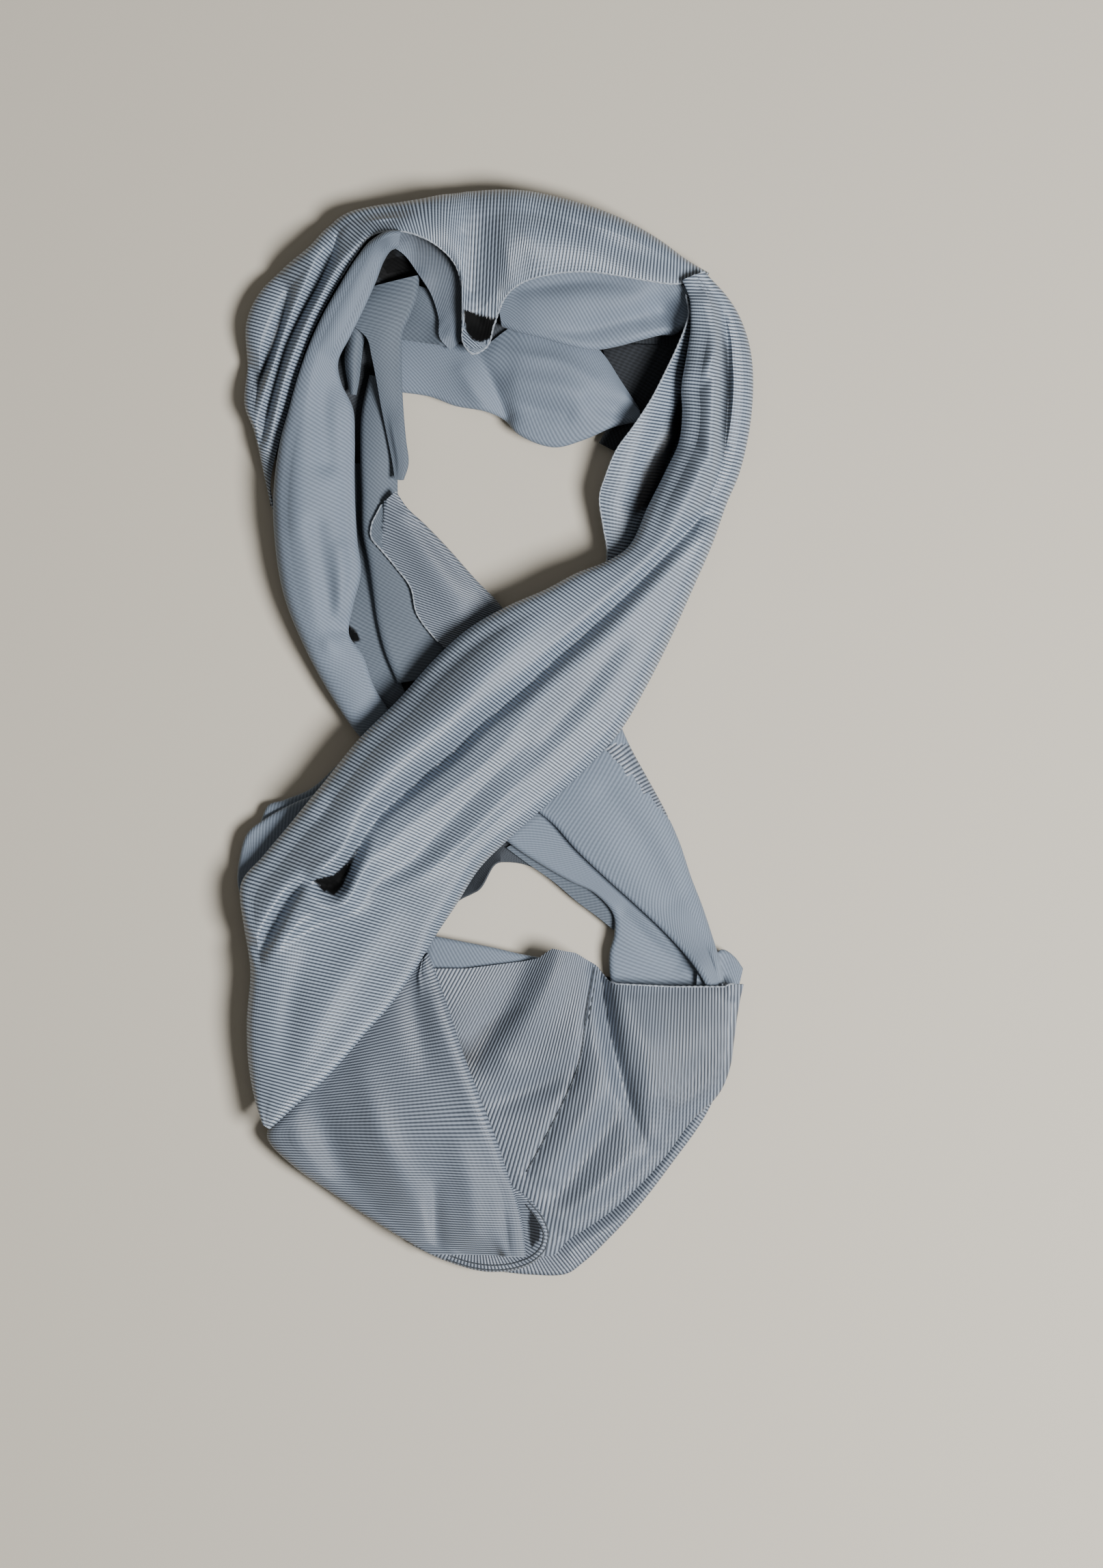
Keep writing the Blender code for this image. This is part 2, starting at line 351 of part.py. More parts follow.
# Folds: width of the ridge or trough, then places on its line (x, y, height); troughs are negative
FOLDS = {
    "inner_layer_top": (
        (9.0, ((8, 119, 2.0), (22, 117, 2.5), (37, 111, 1.5))),
        (6.0, ((34, 112, -2.0), (43, 109.5, -3.0), (50, 108, -2.0))),
        (4.0, ((-4, 128, -1.0), (0, 118, -2.0), (3.5, 108, -2.5))),
        (5.0, ((-11, 123, 1.0), (-7, 116, 1.5), (-3, 110, 1.0))),
        (7.0, ((4, 132, 1.0), (16, 130, 1.5), (30, 124, 1.5))),
    ),
    "top_turned_edge": (
        (6.0, ((10, 135, -1.0), (28, 136, -1.8), (48, 141, -2.0))),
        (8.0, ((52, 142, -2.5), (56, 143, -5.0), (61, 142, -4.0))),
        (10.0, ((14, 146, 0.8), (30, 148, 1.0), (46, 149, 0.8))),
    ),
    "outer_strand": (
        (4.5, ((-62, 166, -2.0), (-72, 147, -3.5), (-76.5, 127, -3.5), (-82, 113, -2.0))),
        (5.0, ((-57, 171, 1.5), (-65, 152, 2.5), (-72, 130, 2.5), (-78, 109, 2.0))),
        (3.8, ((-52, 174, -3.0), (-60, 153, -4.0), (-70, 133, -4.0), (-79, 105, -3.0))),
        (5.0, ((-44, 167, 1.5), (-57, 150, 3.5), (-69, 125, 3.5), (-77, 100, 3.0))),
        (7.0, ((-8.5, 146, -8.0), (-5.5, 139.5, -12.0), (-1.5, 142, -8.0))),
        (14.0, ((-6, 178, -1.0), (-6, 166, -2.0), (-5.5, 152, -4.0))),
        (12.0, ((8, 174, 1.0), (12, 164, 1.5), (14, 157, 0.5))),
        (10.0, ((30, 176, -0.8), (34, 168, -1.5), (44, 160, -1.0))),
        (10.0, ((-46, 174, -1.5), (-38, 176, -2.0), (-28, 178, -1.0))),
    ),
    "left_panel": (
        (7.0, ((-57, 126, -1.5), (-58, 110, -2.5), (-57, 92, -2.0))),
        (9.0, ((-66, 124, 1.0), (-68, 100, 1.5), (-67, 70, 1.5))),
        (6.0, ((-60, 70, -1.5), (-57, 50, -2.0), (-54, 36, -2.5))),
        (5.0, ((-52, 62, 1.0), (-52, 48, 1.5), (-56, 30, 1.0))),
    ),
    "ribbed_wedge": (
        (8.0, ((-31, 72, 1.0), (-22, 58, 1.0), (-12, 46, 0.5))),
    ),
    "right_inner_wall": (
        (6.0, ((58, 106, -1.5), (52, 92, -2.0), (47, 78, -1.5))),
    ),
    "lower_inner_strip": (
        (5.0, ((44, -62, -1.0), (52, -70, -1.5), (62, -78, -1.0))),
    ),
    "under_stretch_right": (
        (9.0, ((38, -22, -1.0), (50, -38, -1.5), (60, -56, -1.0))),
    ),
    "bottom_right_stretch": (
        (3.6, ((36, -80, -6.0), (37.2, -92, -7.0), (38.5, -104, -6.0), (41, -115, -4.0))),
        (6.0, ((42, -118, -3.0), (46, -128, -3.5), (51, -141, -1.5))),
        (6.0, ((4, -84, -1.0), (1, -98, -2.5), (-2, -112, -2.0))),
        (6.0, ((20, -104, -1.0), (14, -113, -2.5), (-4, -125, -2.0))),
        (6.0, ((35, -131, -1.5), (28, -148, -2.5), (20, -163, -2.0))),
        (6.0, ((21, -84, 2.0), (16, -98, 2.0), (9, -111, 1.0))),
        (5.0, ((27, -122, 1.5), (23, -132, 2.0), (17, -142, 1.0))),
        (5.0, ((10, -92, 1.0), (6, -103, 1.5), (2, -112, 1.0))),
        (10.0, ((58, -92, 1.5), (58, -108, 2.0), (52, -124, 1.5))),
        (4.0, ((20, -168, -1.0), (24, -174, -2.0), (27, -180, -1.5))),
    ),
    "bottom_left_panel": (
        (9.0, ((-60, -126, -1.5), (-57, -142, -3.0), (-46, -157, -2.0))),
        (7.0, ((-27, -86, -1.0), (-25, -100, -2.0), (-22, -113, -1.0))),
        (6.0, ((-20, -158, -1.0), (-20, -166, -1.5), (-20, -173, -1.0))),
        (5.0, ((3, -158, -1.5), (4, -167, -2.5), (5, -175, -2.0))),
        (12.0, ((-40, -118, 1.0), (-30, -134, 1.5), (-14, -150, 1.0))),
    ),
    "front_strand": (
        (7.0, ((76, 84, -2.0), (57, 61, -4.5), (30, 32, -5.5), (-10, -2, -5.0), (-48, -37, -4.5))),
        (14.0, ((60, 72, 1.0), (20, 33, 2.5), (-20, -2, 3.0), (-55, -38, 3.0), (-80, -72, 2.0))),
        (7.0, ((75, 149, 1.0), (78, 134, 2.5), (77.5, 110, 3.0), (74, 88, 2.5), (60, 72, 1.0))),
        (4.5, ((80, 142, -3.0), (81, 128, -5.5), (80, 108, -6.0), (77.5, 90, -5.0), (70, 75, -3.0))),
        (4.5, ((66, 119, 0.5), (72, 128, 1.5), (75, 141, 1.0))),
        (9.0, ((22, 6, -1.0), (-2, -22, -2.5), (-18, -42, -2.5), (-30, -50, -1.5))),
        (6.5, ((-40, -35, -3.0), (-49, -48, -8.0), (-59, -51.5, -6.0))),
        (5.0, ((-66, -50, -2.0), (-74, -62, -4.0), (-80, -76, -3.0))),
        (12.0, ((46, 26, 1.0), (14, -8, 1.5), (-16, -36, 1.5))),
        (10.0, ((-62, -62, 1.0), (-66, -84, 1.5), (-64, -104, 1.0))),
    ),
}

# Rings of the hidden layers: outer place (x, y), inner place (x, y)
UPPER_RING = (
    (-36, 0, -8, 49), (-50, 6, -19, 60), (-62, 28, -28, 71), (-69, 50, -35, 80), (-71, 75, -35, 91),
    (-75, 95, -35, 101), (-80, 112, -35, 112), (-80, 132, -34, 120), (-74, 148, -29, 119), (-60, 160, -20, 118.5),
    (-47, 172, -11, 116), (-25, 177, -3, 114), (0, 180, 5, 112), (25, 176, 13, 106), (45, 168, 24, 102),
    (62, 157.5, 34, 104.5), (76, 143, 42, 104), (83, 125, 47, 100), (82.5, 105, 44, 93), (77, 85, 41, 81),
    (69, 65, 41, 66), (61, 45, 36, 52), (48, 17, 22, 45), (36, 0, 14, 41), (12, 0, 7, 38), (-12, 0, 0, 41),
)
LOWER_RING = (
    (-38, 4, -4, -52), (-12, 4, 0, -45), (12, 4, 4, -44), (36, 3, 11, -45), (50, -15, 20, -49),
    (58, -35, 30, -55), (65, -55, 39, -62), (71, -72, 44, -69), (80, -86, 44, -78), (77, -105, 40, -83),
    (73, -119, 32, -82), (59, -141, 22, -80), (41, -164, 11, -80), (21, -179, 3, -79), (-4, -178, -6, -77),
    (-30, -168, -14, -75), (-54, -152, -20, -75), (-72, -136, -25, -76), (-79, -118, -27, -74),
    (-79, -95, -25, -70), (-79, -75, -21, -65), (-82, -52, -16, -60), (-79, -38, -12, -57), (-60, -24, -8, -55),
)

FACES = {"ribbed": (0.42, 0.46, 0.52, 1.0), "matte": (0.36, 0.39, 0.43, 1.0), "hidden": (0.30, 0.33, 0.36, 1.0)}


def smooth_rows(rows, count, closed=False):
    """Rows of a table joined by smooth curves, at evenly spaced places."""
    table = np.array(rows, float)
    if closed:
        table = np.vstack([table[-2:], table, table[:3]])
    plan = table[:, [0, 1, 3, 4]] if table.shape[1] > 5 else table[:, :4]
    if table.shape[1] == 3:
        plan = table[:, :2]
    knots = np.concatenate([[0.0], np.cumsum(np.sqrt((np.diff(plan, axis=0) ** 2).sum(axis=1)) + 1e-6)])
    slopes = np.gradient(table, knots, axis=0)
    first, last = (knots[2], knots[-3]) if closed else (knots[0], knots[-1])
    places = np.linspace(first, last, count + 1)
    span = np.clip(np.searchsorted(knots, places, side="right") - 1, 0, len(knots) - 2)
    width = (knots[span + 1] - knots[span])[:, None]
    u = (places - knots[span])[:, None] / width
    start, end = table[span], table[span + 1]
    rise, fall = slopes[span] * width, slopes[span + 1] * width
    return ((2 * u**3 - 3 * u**2 + 1) * start + (u**3 - 2 * u**2 + u) * rise
            + (3 * u**2 - 2 * u**3) * end + (u**3 - u**2) * fall)


def fold_heights(name, x, y):
    """Sum of the ridges and troughs of one stretch at the places x, y."""
    total = np.zeros_like(x)
    for width, line in FOLDS.get(name, ()):
        path = smooth_rows(line, 5 * (len(line) - 1))
        nearest = np.full(x.shape, 1e9)
        height = np.zeros_like(x)
        for start, end in zip(path[:-1], path[1:]):
            along = end[:2] - start[:2]
            share = ((x - start[0]) * along[0] + (y - start[1]) * along[1]) / (along @ along + 1e-9)
            share = np.clip(share, 0.0, 1.0)
            away = (x - start[0] - share * along[0]) ** 2 + (y - start[1] - share * along[1]) ** 2
            closer = away < nearest
            nearest = np.where(closer, away, nearest)
            height = np.where(closer, start[2] + share * (end[2] - start[2]), height)
        total += height * np.exp(-2.77 * nearest / width**2)
    return total


class LayerMap:
    """Highest and lowest cloth met so far over each cell of the table."""

    def __init__(self):
        shape = (int((MAP_X[1] - MAP_X[0]) / CELL) + 1, int((MAP_Y[1] - MAP_Y[0]) / CELL) + 1)
        self.top = np.full(shape, -1.0)
        self.bottom = np.full(shape, 1e3)

    def add(self, points, faces):
        tree = BVHTree.FromPolygons([tuple(p) for p in points], faces)
        low = np.floor((points.min(axis=0)[:2] - (MAP_X[0], MAP_Y[0])) / CELL).astype(int)
        high = np.ceil((points.max(axis=0)[:2] - (MAP_X[0], MAP_Y[0])) / CELL).astype(int)
        down, up = Vector((0, 0, -1)), Vector((0, 0, 1))
        for i in range(low[0], high[0] + 1):
            for j in range(low[1], high[1] + 1):
                x, y = MAP_X[0] + i * CELL, MAP_Y[0] + j * CELL
                hit = tree.ray_cast(Vector((x, y, 200)), down)[0]
                if hit is None:
                    continue
                self.top[i, j] = max(self.top[i, j], hit.z)
                self.bottom[i, j] = min(self.bottom[i, j], tree.ray_cast(Vector((x, y, -50)), up)[0].z)

    def under(self, points, faces, cloth):
        """Underside of a mesh over each cell it covers: x, y, cloth height below, its height, face."""
        tree = BVHTree.FromPolygons([tuple(p) for p in points], faces)
        low = np.floor((points.min(axis=0)[:2] - (MAP_X[0], MAP_Y[0])) / CELL).astype(int)
        high = np.ceil((points.max(axis=0)[:2] - (MAP_X[0], MAP_Y[0])) / CELL).astype(int)
        found = []
        for i in range(low[0], high[0] + 1):
            for j in range(low[1], high[1] + 1):
                x, y = MAP_X[0] + i * CELL, MAP_Y[0] + j * CELL
                hit, _, face, _ = tree.ray_cast(Vector((x, y, -50)), Vector((0, 0, 1)))
                if hit is not None:
                    found.append((x, y, cloth[i, j], hit.z, face))
        return found

    @staticmethod
    def spread(field, radius, pick):
        """Field with each cell taking the extreme of the cells within the radius."""
        reach = int(np.ceil(radius / CELL))
        result = field.copy()
        for i in range(-reach, reach + 1):
            for j in range(-reach, reach + 1):
                if i * i + j * j <= (radius / CELL) ** 2:
                    result = pick(result, np.roll(field, (i, j), (0, 1)))
        return result

    @staticmethod
    def read(field, x, y):
        i = np.clip(np.rint((x - MAP_X[0]) / CELL).astype(int), 0, field.shape[0] - 1)
        j = np.clip(np.rint((y - MAP_Y[0]) / CELL).astype(int), 0, field.shape[1] - 1)
        return field[i, j]


def softened(values, floor, passes):
    """Values evened out along the rows and columns, never under the floor."""
    for _ in range(passes):
        padded = np.pad(values, 1, mode="edge")
        mean = (padded[:-2, 1:-1] + padded[2:, 1:-1] + padded[1:-1, :-2] + padded[1:-1, 2:]) / 4
        values = np.maximum(0.5 * values + 0.5 * mean, floor)
    return values


def lay_stretch(stretch, layers):
    """Outer surface of one stretch of cloth: a grid of places, row by row along the strand."""
    rows = smooth_rows(stretch["sections"], stretch["along"])
    edge_a, edge_b = rows[:, :2], rows[:, 3:5]
    width = np.linalg.norm(edge_b - edge_a, axis=1)
    across = (edge_b - edge_a) / width[:, None]
    inset_a = np.minimum(stretch["edge_a"][0], 0.3 * width)
    inset_b = np.minimum(stretch["edge_b"][0], 0.3 * width)
    share = np.linspace(0, 1, stretch["across"] + 1)[None, :]
    reach = inset_a[:, None] + share * (width - inset_a - inset_b)[:, None]
    x = edge_a[:, :1] + reach * across[:, :1]
    y = edge_a[:, 1:] + reach * across[:, 1:]
    t = reach / width[:, None]
    if "start" in stretch:
        shift = np.interp(t, *np.array(stretch["start"]).T)
        middle = (edge_a + edge_b) / 2
        travel = np.concatenate([[0.0], np.cumsum(np.linalg.norm(np.diff(middle, axis=0), axis=1))])[:, None]
        forward = middle[0] - middle[2]
        forward = forward / np.linalg.norm(forward)
        x = x + shift * np.exp(-travel / 7.0) * forward[0]
        y = y + shift * np.exp(-travel / 7.0) * forward[1]
    z = rows[:, 2:3] * (1 - t) + rows[:, 5:6] * t + rows[:, 6:7] * 4 * t * (1 - t)
    z = z + fold_heights(stretch["name"], x, y)
    wide = layers.spread(layers.top, CLEAR_RADIUS, np.maximum)
    needed = np.maximum(layers.read(wide, x, y) + WALL + GAP + 0.3, LOWEST_TURN + WALL)
    sides = []
    for inset, edge, outward, spec in ((inset_a, edge_a, -across, stretch["edge_a"]),
                                       (inset_b, edge_b, across, stretch["edge_b"])):
        if spec[0] == 0:
            sides.append(None)
            continue
        first = 0 if edge is edge_a else -1
        low = np.full(len(rows), LOWEST_TURN)
        near = layers.spread(layers.top, 2.0, np.maximum)
        for back in (0.0, 0.33, 0.66, 1.0):
            place = edge - outward * ((inset + FLAP) * back)[:, None]
            low = np.maximum(low, layers.read(near, place[:, 0], place[:, 1]) + GAP)
        low = softened(low[:, None], low[:, None], 2)[:, 0]
        low = np.maximum(low, z[:, first] - spec[1])
        near_edge = reach < (inset_a + FLAP)[:, None] if first == 0 else reach > (width - inset_b - FLAP)[:, None]
        needed = np.where(near_edge, np.maximum(needed, (low + 2 * WALL + 0.6)[:, None]), needed)
        sides.append((low, first, inset, outward))
    lift = softened(np.maximum(needed - z, 0.0), np.maximum(needed - z, 0.0), LIFT_PASSES)
    z = z + lift
    columns = [np.stack([x, y, z], axis=2)]
    for side in sides:
        if side is None:
            continue
        low, first, inset, outward = side
        base = np.stack([x[:, first], y[:, first]], axis=1)
        top = z[:, first]
        middle, half = (top + low) / 2, (top - low) / 2
        turn = []
        for angle in np.radians(TURN_ANGLES):
            plan = base + outward * (inset * np.cos(angle))[:, None]
            turn.append(np.column_stack([plan, middle + half * np.sin(angle)]))
        turn.append(np.column_stack([base - outward * np.minimum(FLAP, inset)[:, None], low + 0.15]))
        turned = np.stack(turn, axis=1)
        columns = [turned[:, ::-1]] + columns if first == 0 else columns + [turned]
    return np.concatenate(columns, axis=1)


def settle(stretch, grid, layers):
    """Raises the grid wherever its wall still comes nearer than the clearance to the cloth below."""
    turn = len(TURN_ANGLES) + 1
    nearby = layers.spread(layers.top, 1.5, np.maximum)
    head = turn if stretch["edge_a"][0] else 0
    tail = turn if stretch["edge_b"][0] else 0
    for _ in range(SETTLE_PASSES):
        points, faces = wall_of(grid)
        lack = np.zeros(grid.shape[:2])
        for x, y, top, height, face in layers.under(points, faces, nearby):
            if top < 0 or height > top + CLEARANCE:
                continue
            for corner in faces[face]:
                row, column = divmod(corner % lack.size, grid.shape[1])
                lack[row, column] = max(lack[row, column], top + CLEARANCE + 0.05 - height)
        if lack.max() <= 0:
            break
        if head:
            lack[:, :head + 2] = lack[:, :head + 2].max(axis=1)[:, None]
        if tail:
            lack[:, -tail - 2:] = lack[:, -tail - 2:].max(axis=1)[:, None]
        grid[:, :, 2] += softened(lack, lack, 1)
    return grid


def grid_normals(grid):
    along = np.gradient(grid, axis=0)
    across = np.gradient(grid, axis=1)
    normal = np.cross(along, across)
    normal /= np.linalg.norm(normal, axis=2)[:, :, None] + 1e-9
    middle = normal[:, normal.shape[1] // 2, 2].sum()
    return normal if middle > 0 else -normal


def wall_of(grid):
    """Closed wall of cloth whose outer surface is the grid: points and faces."""
    normal = grid_normals(grid)
    inner = grid - normal * WALL
    rows, columns = grid.shape[:2]
    points = np.concatenate([grid.reshape(-1, 3), inner.reshape(-1, 3)])
    shift = rows * columns
    along = np.gradient(grid, axis=0)
    across = np.gradient(grid, axis=1)
    up = (np.cross(along, across) * normal).sum() > 0
    faces = []
    for i in range(rows - 1):
        for j in range(columns - 1):
            a, b = i * columns + j, i * columns + j + 1
            c, d = (i + 1) * columns + j + 1, (i + 1) * columns + j
            faces.append((a, d, c, b) if up else (a, b, c, d))
            faces.append(tuple(shift + k for k in ((a, b, c, d) if up else (a, d, c, b))))
    border = [(0, j) for j in range(columns)] + [(i, columns - 1) for i in range(1, rows)]
    border += [(rows - 1, j) for j in range(columns - 2, -1, -1)] + [(i, 0) for i in range(rows - 2, 0, -1)]
    ring = [i * columns + j for i, j in border]
    for a, b in zip(ring, ring[1:] + ring[:1]):
        faces.append((a, b, shift + b, shift + a) if up else (b, a, shift + a, shift + b))
    return points, faces


def make_object(name, points, faces, face):
    mesh = bpy.data.meshes.new(name)
    mesh.from_pydata([tuple(p) for p in (np.asarray(points) - (*CENTRE, 0.0)) * MM], [], faces)
    mesh.validate()
    made = bpy.data.objects.new(name, mesh)
    bpy.context.scene.collection.objects.link(made)
    material = bpy.data.materials.new(name)
    material.use_nodes = True
    shader = material.node_tree.nodes["Principled BSDF"]
    shader.inputs["Base Color"].default_value = FACES[face]
    shader.inputs["Roughness"].default_value = 0.6
    mesh.materials.append(material)
    return made


def ring_body(rows, count, layers, margin):
    """Closed ring of hidden layers: flat underneath, lipped at both edges, its top under the cloth."""
    table = smooth_rows(rows, count, closed=True)[:-1]
    outer, inner = table[:, :2], table[:, 2:]
    width = np.linalg.norm(inner - outer, axis=1)
    across = (inner - outer) / width[:, None]
    under = layers.spread(layers.bottom, 6.0, np.minimum)
    share = np.linspace(0, 1, HIDDEN_ACROSS + 1)
    tops = []
    for part in share:
        place = outer + (inner - outer) * part
        tops.append(np.clip(layers.read(under, place[:, 0], place[:, 1]) - margin, 1.7, 40.0))
    tops = np.stack(tops, axis=1)
    columns = []

    def column(offset, height):
        columns.append(np.column_stack([outer + across * np.asarray(offset)[:, None], height]))

    flat = np.ones(len(table))
    column(0.5 * flat, 0.0 * flat)
    column(0.0 * flat, 0.4 * flat)
    column(0.0 * flat, 0.7 * flat)
    column(EDGE_LIP * flat, 0.85 * flat)
    column(0.0 * flat, 1.0 * flat)
    column(0.0 * flat, tops[:, 0] - 0.35)
    for index, part in enumerate(share):
        offset = np.clip(width * part, 0.6, width - 0.6)
        column(offset, tops[:, index])
    column(width, tops[:, -1] - 0.35)
    column(width, 1.0 * flat)
    column(width - EDGE_LIP, 0.85 * flat)
    column(width, 0.7 * flat)
    column(width, 0.4 * flat)
    column(width - 0.5, 0.0 * flat)
    grid = np.stack(columns, axis=1)
    rows_n, columns_n = grid.shape[:2]
    faces = []
    for i in range(rows_n):
        following = (i + 1) % rows_n
        for j in range(columns_n):
            beside = (j + 1) % columns_n
            faces.append((i * columns_n + j, i * columns_n + beside,
                          following * columns_n + beside, following * columns_n + j))
    points = grid.reshape(-1, 3)
    corners = np.array([(f[0], f[1], f[2]) for f in faces] + [(f[0], f[2], f[3]) for f in faces])
    volume = np.linalg.det(points[corners]).sum()
    if volume < 0:
        faces = [f[::-1] for f in faces]
    points = points.copy()
    nearby = layers.spread(layers.bottom, 2.3, np.minimum)
    for _ in range(22):
        excess = np.zeros(len(points))
        tree = BVHTree.FromPolygons([tuple(p) for p in points], faces)
        for i, j in zip(*np.nonzero(nearby < 900)):
            x, y = MAP_X[0] + i * CELL, MAP_Y[0] + j * CELL
            hit, _, face, _ = tree.ray_cast(Vector((x, y, 200)), Vector((0, 0, -1)))
            if hit is None or hit.z < nearby[i, j] - margin + 0.15:
                continue
            for corner in faces[face]:
                excess[corner] = max(excess[corner], hit.z - nearby[i, j] + margin)
        if excess.max() <= 0:
            break
        points[:, 2] = np.where(excess > 0, np.maximum(points[:, 2] - excess, np.minimum(points[:, 2], 1.4)), points[:, 2])
    return points, faces


layers = LayerMap()
for stretch in STRETCHES:
    surface = settle(stretch, lay_stretch(stretch, layers), layers)
    points, faces = wall_of(surface)
    layers.add(points, faces)
    make_object(stretch["name"], points, faces, stretch["face"])

points, faces = ring_body(UPPER_RING, HIDDEN_ROWS, layers, HIDDEN_GAP)
hidden = make_object("hidden_layers", points, faces, "hidden")
points, faces = ring_body(LOWER_RING, HIDDEN_ROWS, layers, HIDDEN_GAP + 0.3)
lower = make_object("lower_ring", points, faces, "hidden")
join = hidden.modifiers.new("join", "BOOLEAN")
join.operation = "UNION"
join.solver = "EXACT"
join.object = lower
bpy.context.view_layer.objects.active = hidden
bpy.ops.object.modifier_apply(modifier="join")
bpy.data.objects.remove(lower, do_unlink=True)
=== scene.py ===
# Infinity scarf of thin knit, laid on a table as a figure eight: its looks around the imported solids
import math

import bpy
import numpy as np
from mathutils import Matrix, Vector
from mathutils.bvhtree import BVHTree


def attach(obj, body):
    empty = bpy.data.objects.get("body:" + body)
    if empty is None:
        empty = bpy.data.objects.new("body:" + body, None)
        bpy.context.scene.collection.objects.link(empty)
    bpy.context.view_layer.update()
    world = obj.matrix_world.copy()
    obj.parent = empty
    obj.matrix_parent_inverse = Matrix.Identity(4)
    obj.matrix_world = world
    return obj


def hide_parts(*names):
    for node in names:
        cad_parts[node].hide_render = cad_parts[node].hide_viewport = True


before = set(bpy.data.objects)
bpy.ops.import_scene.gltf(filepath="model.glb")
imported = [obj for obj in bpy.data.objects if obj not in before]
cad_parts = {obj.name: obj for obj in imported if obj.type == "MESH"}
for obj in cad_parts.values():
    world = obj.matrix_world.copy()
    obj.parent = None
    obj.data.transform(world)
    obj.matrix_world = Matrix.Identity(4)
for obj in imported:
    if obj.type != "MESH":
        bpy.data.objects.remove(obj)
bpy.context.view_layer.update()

bpy.ops.object.select_all(action="DESELECT")

mm = 0.001
# All measures of the cloth are in mm, in the photo's own frame until newObject moves them to the part's
knit = dict(
    wall=0.6,                  # thickness of the cloth
    spacing=1.0,               # of its mesh, along and across
    slack=1.1,                 # how much longer the mesh is taken to be than its middle line
    fewest=(8, 6),             # cells along and across
    smooth=50,                 # degrees: sharper edges stay sharp
    lowest=3.6,                # height of any outer face over the table
    plyGap=1.2, gapReach=2.6,  # what an outer face keeps above the layer under it, and how far round each point
    clearance=0.16,            # what an inner face keeps above it
    inset=0.3,                 # how far in an edge turns at most, as a share of the width
    turnAngles=(70, 50, 31, 12, -9, -32, -56, -80),
    flap=2.5, flapParts=(0.35, 1.0), flapRise=0.15,   # what goes back under a turned edge
    lowestTurn=2.6, turnReach=2.0, turnGap=0.4,       # how low a turned edge may come
    turnHeight=2.6, leastTurn=2.0,                    # and how high it stands
    startFade=7.0)             # how soon the shape of a cut start fades along the cloth
table = dict(low=(-100.0, -195.0), size=(201, 391), centre=(0.14, 0.07))  # one cell is 1 mm
below, above, nothing = -50, 200, 1e3           # heights that rays start from, and that of a cell without cloth
clothTop = np.full(table["size"], -1.0)         # highest cloth laid so far over each cell
clothBottom = np.full(table["size"], nothing)   # and the lowest
laid = []                                       # the pieces of cloth, each with its painted shades


def distances(steps):
    return np.concatenate([[0.0], np.cumsum(steps)])


def smoothBetween(values, slopes, span, u, width=1.0):
    # smooth curve through the values; u is the share of the way from one to the next
    return ((2 * u**3 - 3 * u**2 + 1) * values[span] + (u**3 - 2 * u**2 + u) * slopes[span] * width
            + (3 * u**2 - 2 * u**3) * values[span + 1] + (u**3 - u**2) * slopes[span + 1] * width)


def smoothRows(rows, count, closed=False):
    # rows of a table joined by smooth curves, as count + 1 even rows
    rows = np.array(rows, float)
    if closed:
        rows = np.vstack([rows[-2:], rows, rows[:3]])
    plan = rows[:, [0, 1, 3, 4]] if rows.shape[1] > 5 else rows[:, :4]
    if rows.shape[1] == 3:
        plan = rows[:, :2]
    knots = distances(np.sqrt((np.diff(plan, axis=0) ** 2).sum(axis=1)) + 1e-6)
    first, last = (knots[2], knots[-3]) if closed else (knots[0], knots[-1])
    places = np.linspace(first, last, count + 1)
    span = np.clip(np.searchsorted(knots, places, side="right") - 1, 0, len(knots) - 2)
    width = (knots[span + 1] - knots[span])[:, None]
    slopes, u = np.gradient(rows, knots, axis=0), (places - knots[span])[:, None] / width
    return smoothBetween(rows, slopes, span, u, width)


def stretched(values, shape):
    # a coarse grid of numbers brought to a finer one by smooth curves
    for axis in (0, 1):
        values = np.swapaxes(values, 0, axis)
        place = np.linspace(0, len(values) - 1, shape[axis])
        span = np.clip(place.astype(int), 0, len(values) - 2)
        values = smoothBetween(values, np.gradient(values, axis=0), span, (place - span)[:, None])
        values = np.swapaxes(values, 0, axis)
    return values


def foldHeights(folds, x, y):
    # sum of the ridges and troughs: each is a width, its line (x, y, height) and how round it is
    halved, usual, parts = 0.693, 2.0, 6   # exp(-0.693) is a half: the width is measured at half the height
    total = np.zeros_like(x)
    for width, line, *roundness in folds:
        power = roundness[0] if roundness else usual
        path = smoothRows(line, parts * (len(line) - 1))
        nearest = np.full(x.shape, 1e9)
        height = np.zeros_like(x)
        for start, end in zip(path[:-1], path[1:]):
            along = end[:2] - start[:2]
            share = ((x - start[0]) * along[0] + (y - start[1]) * along[1]) / (along @ along + 1e-9)
            share = np.clip(share, 0.0, 1.0)
            away = (x - start[0] - share * along[0]) ** 2 + (y - start[1] - share * along[1]) ** 2
            closer = away < nearest
            nearest = np.where(closer, away, nearest)
            height = np.where(closer, start[2] + share * (end[2] - start[2]), height)
        total += height * np.exp(-halved * (2 * np.sqrt(nearest) / width) ** power)
    return total


def spread(field, radius, pick):
    # each cell takes the extreme of the cells within the radius
    reach, result = int(math.ceil(radius)), field.copy()
    for i in range(-reach, reach + 1):
        for j in range(-reach, reach + 1):
            if i * i + j * j <= radius * radius:
                result = pick(result, np.roll(field, (i, j), (0, 1)))
    return result


def readMap(field, x, y):
    # value of a map between its cells
    i = np.clip(x - table["low"][0], 0, table["size"][0] - 1.001)
    j = np.clip(y - table["low"][1], 0, table["size"][1] - 1.001)
    a, b = i.astype(int), j.astype(int)
    s, t = i - a, j - b
    return ((field[a, b] * (1 - t) + field[a, b + 1] * t) * (1 - s)
            + (field[a + 1, b] * (1 - t) + field[a + 1, b + 1] * t) * s)


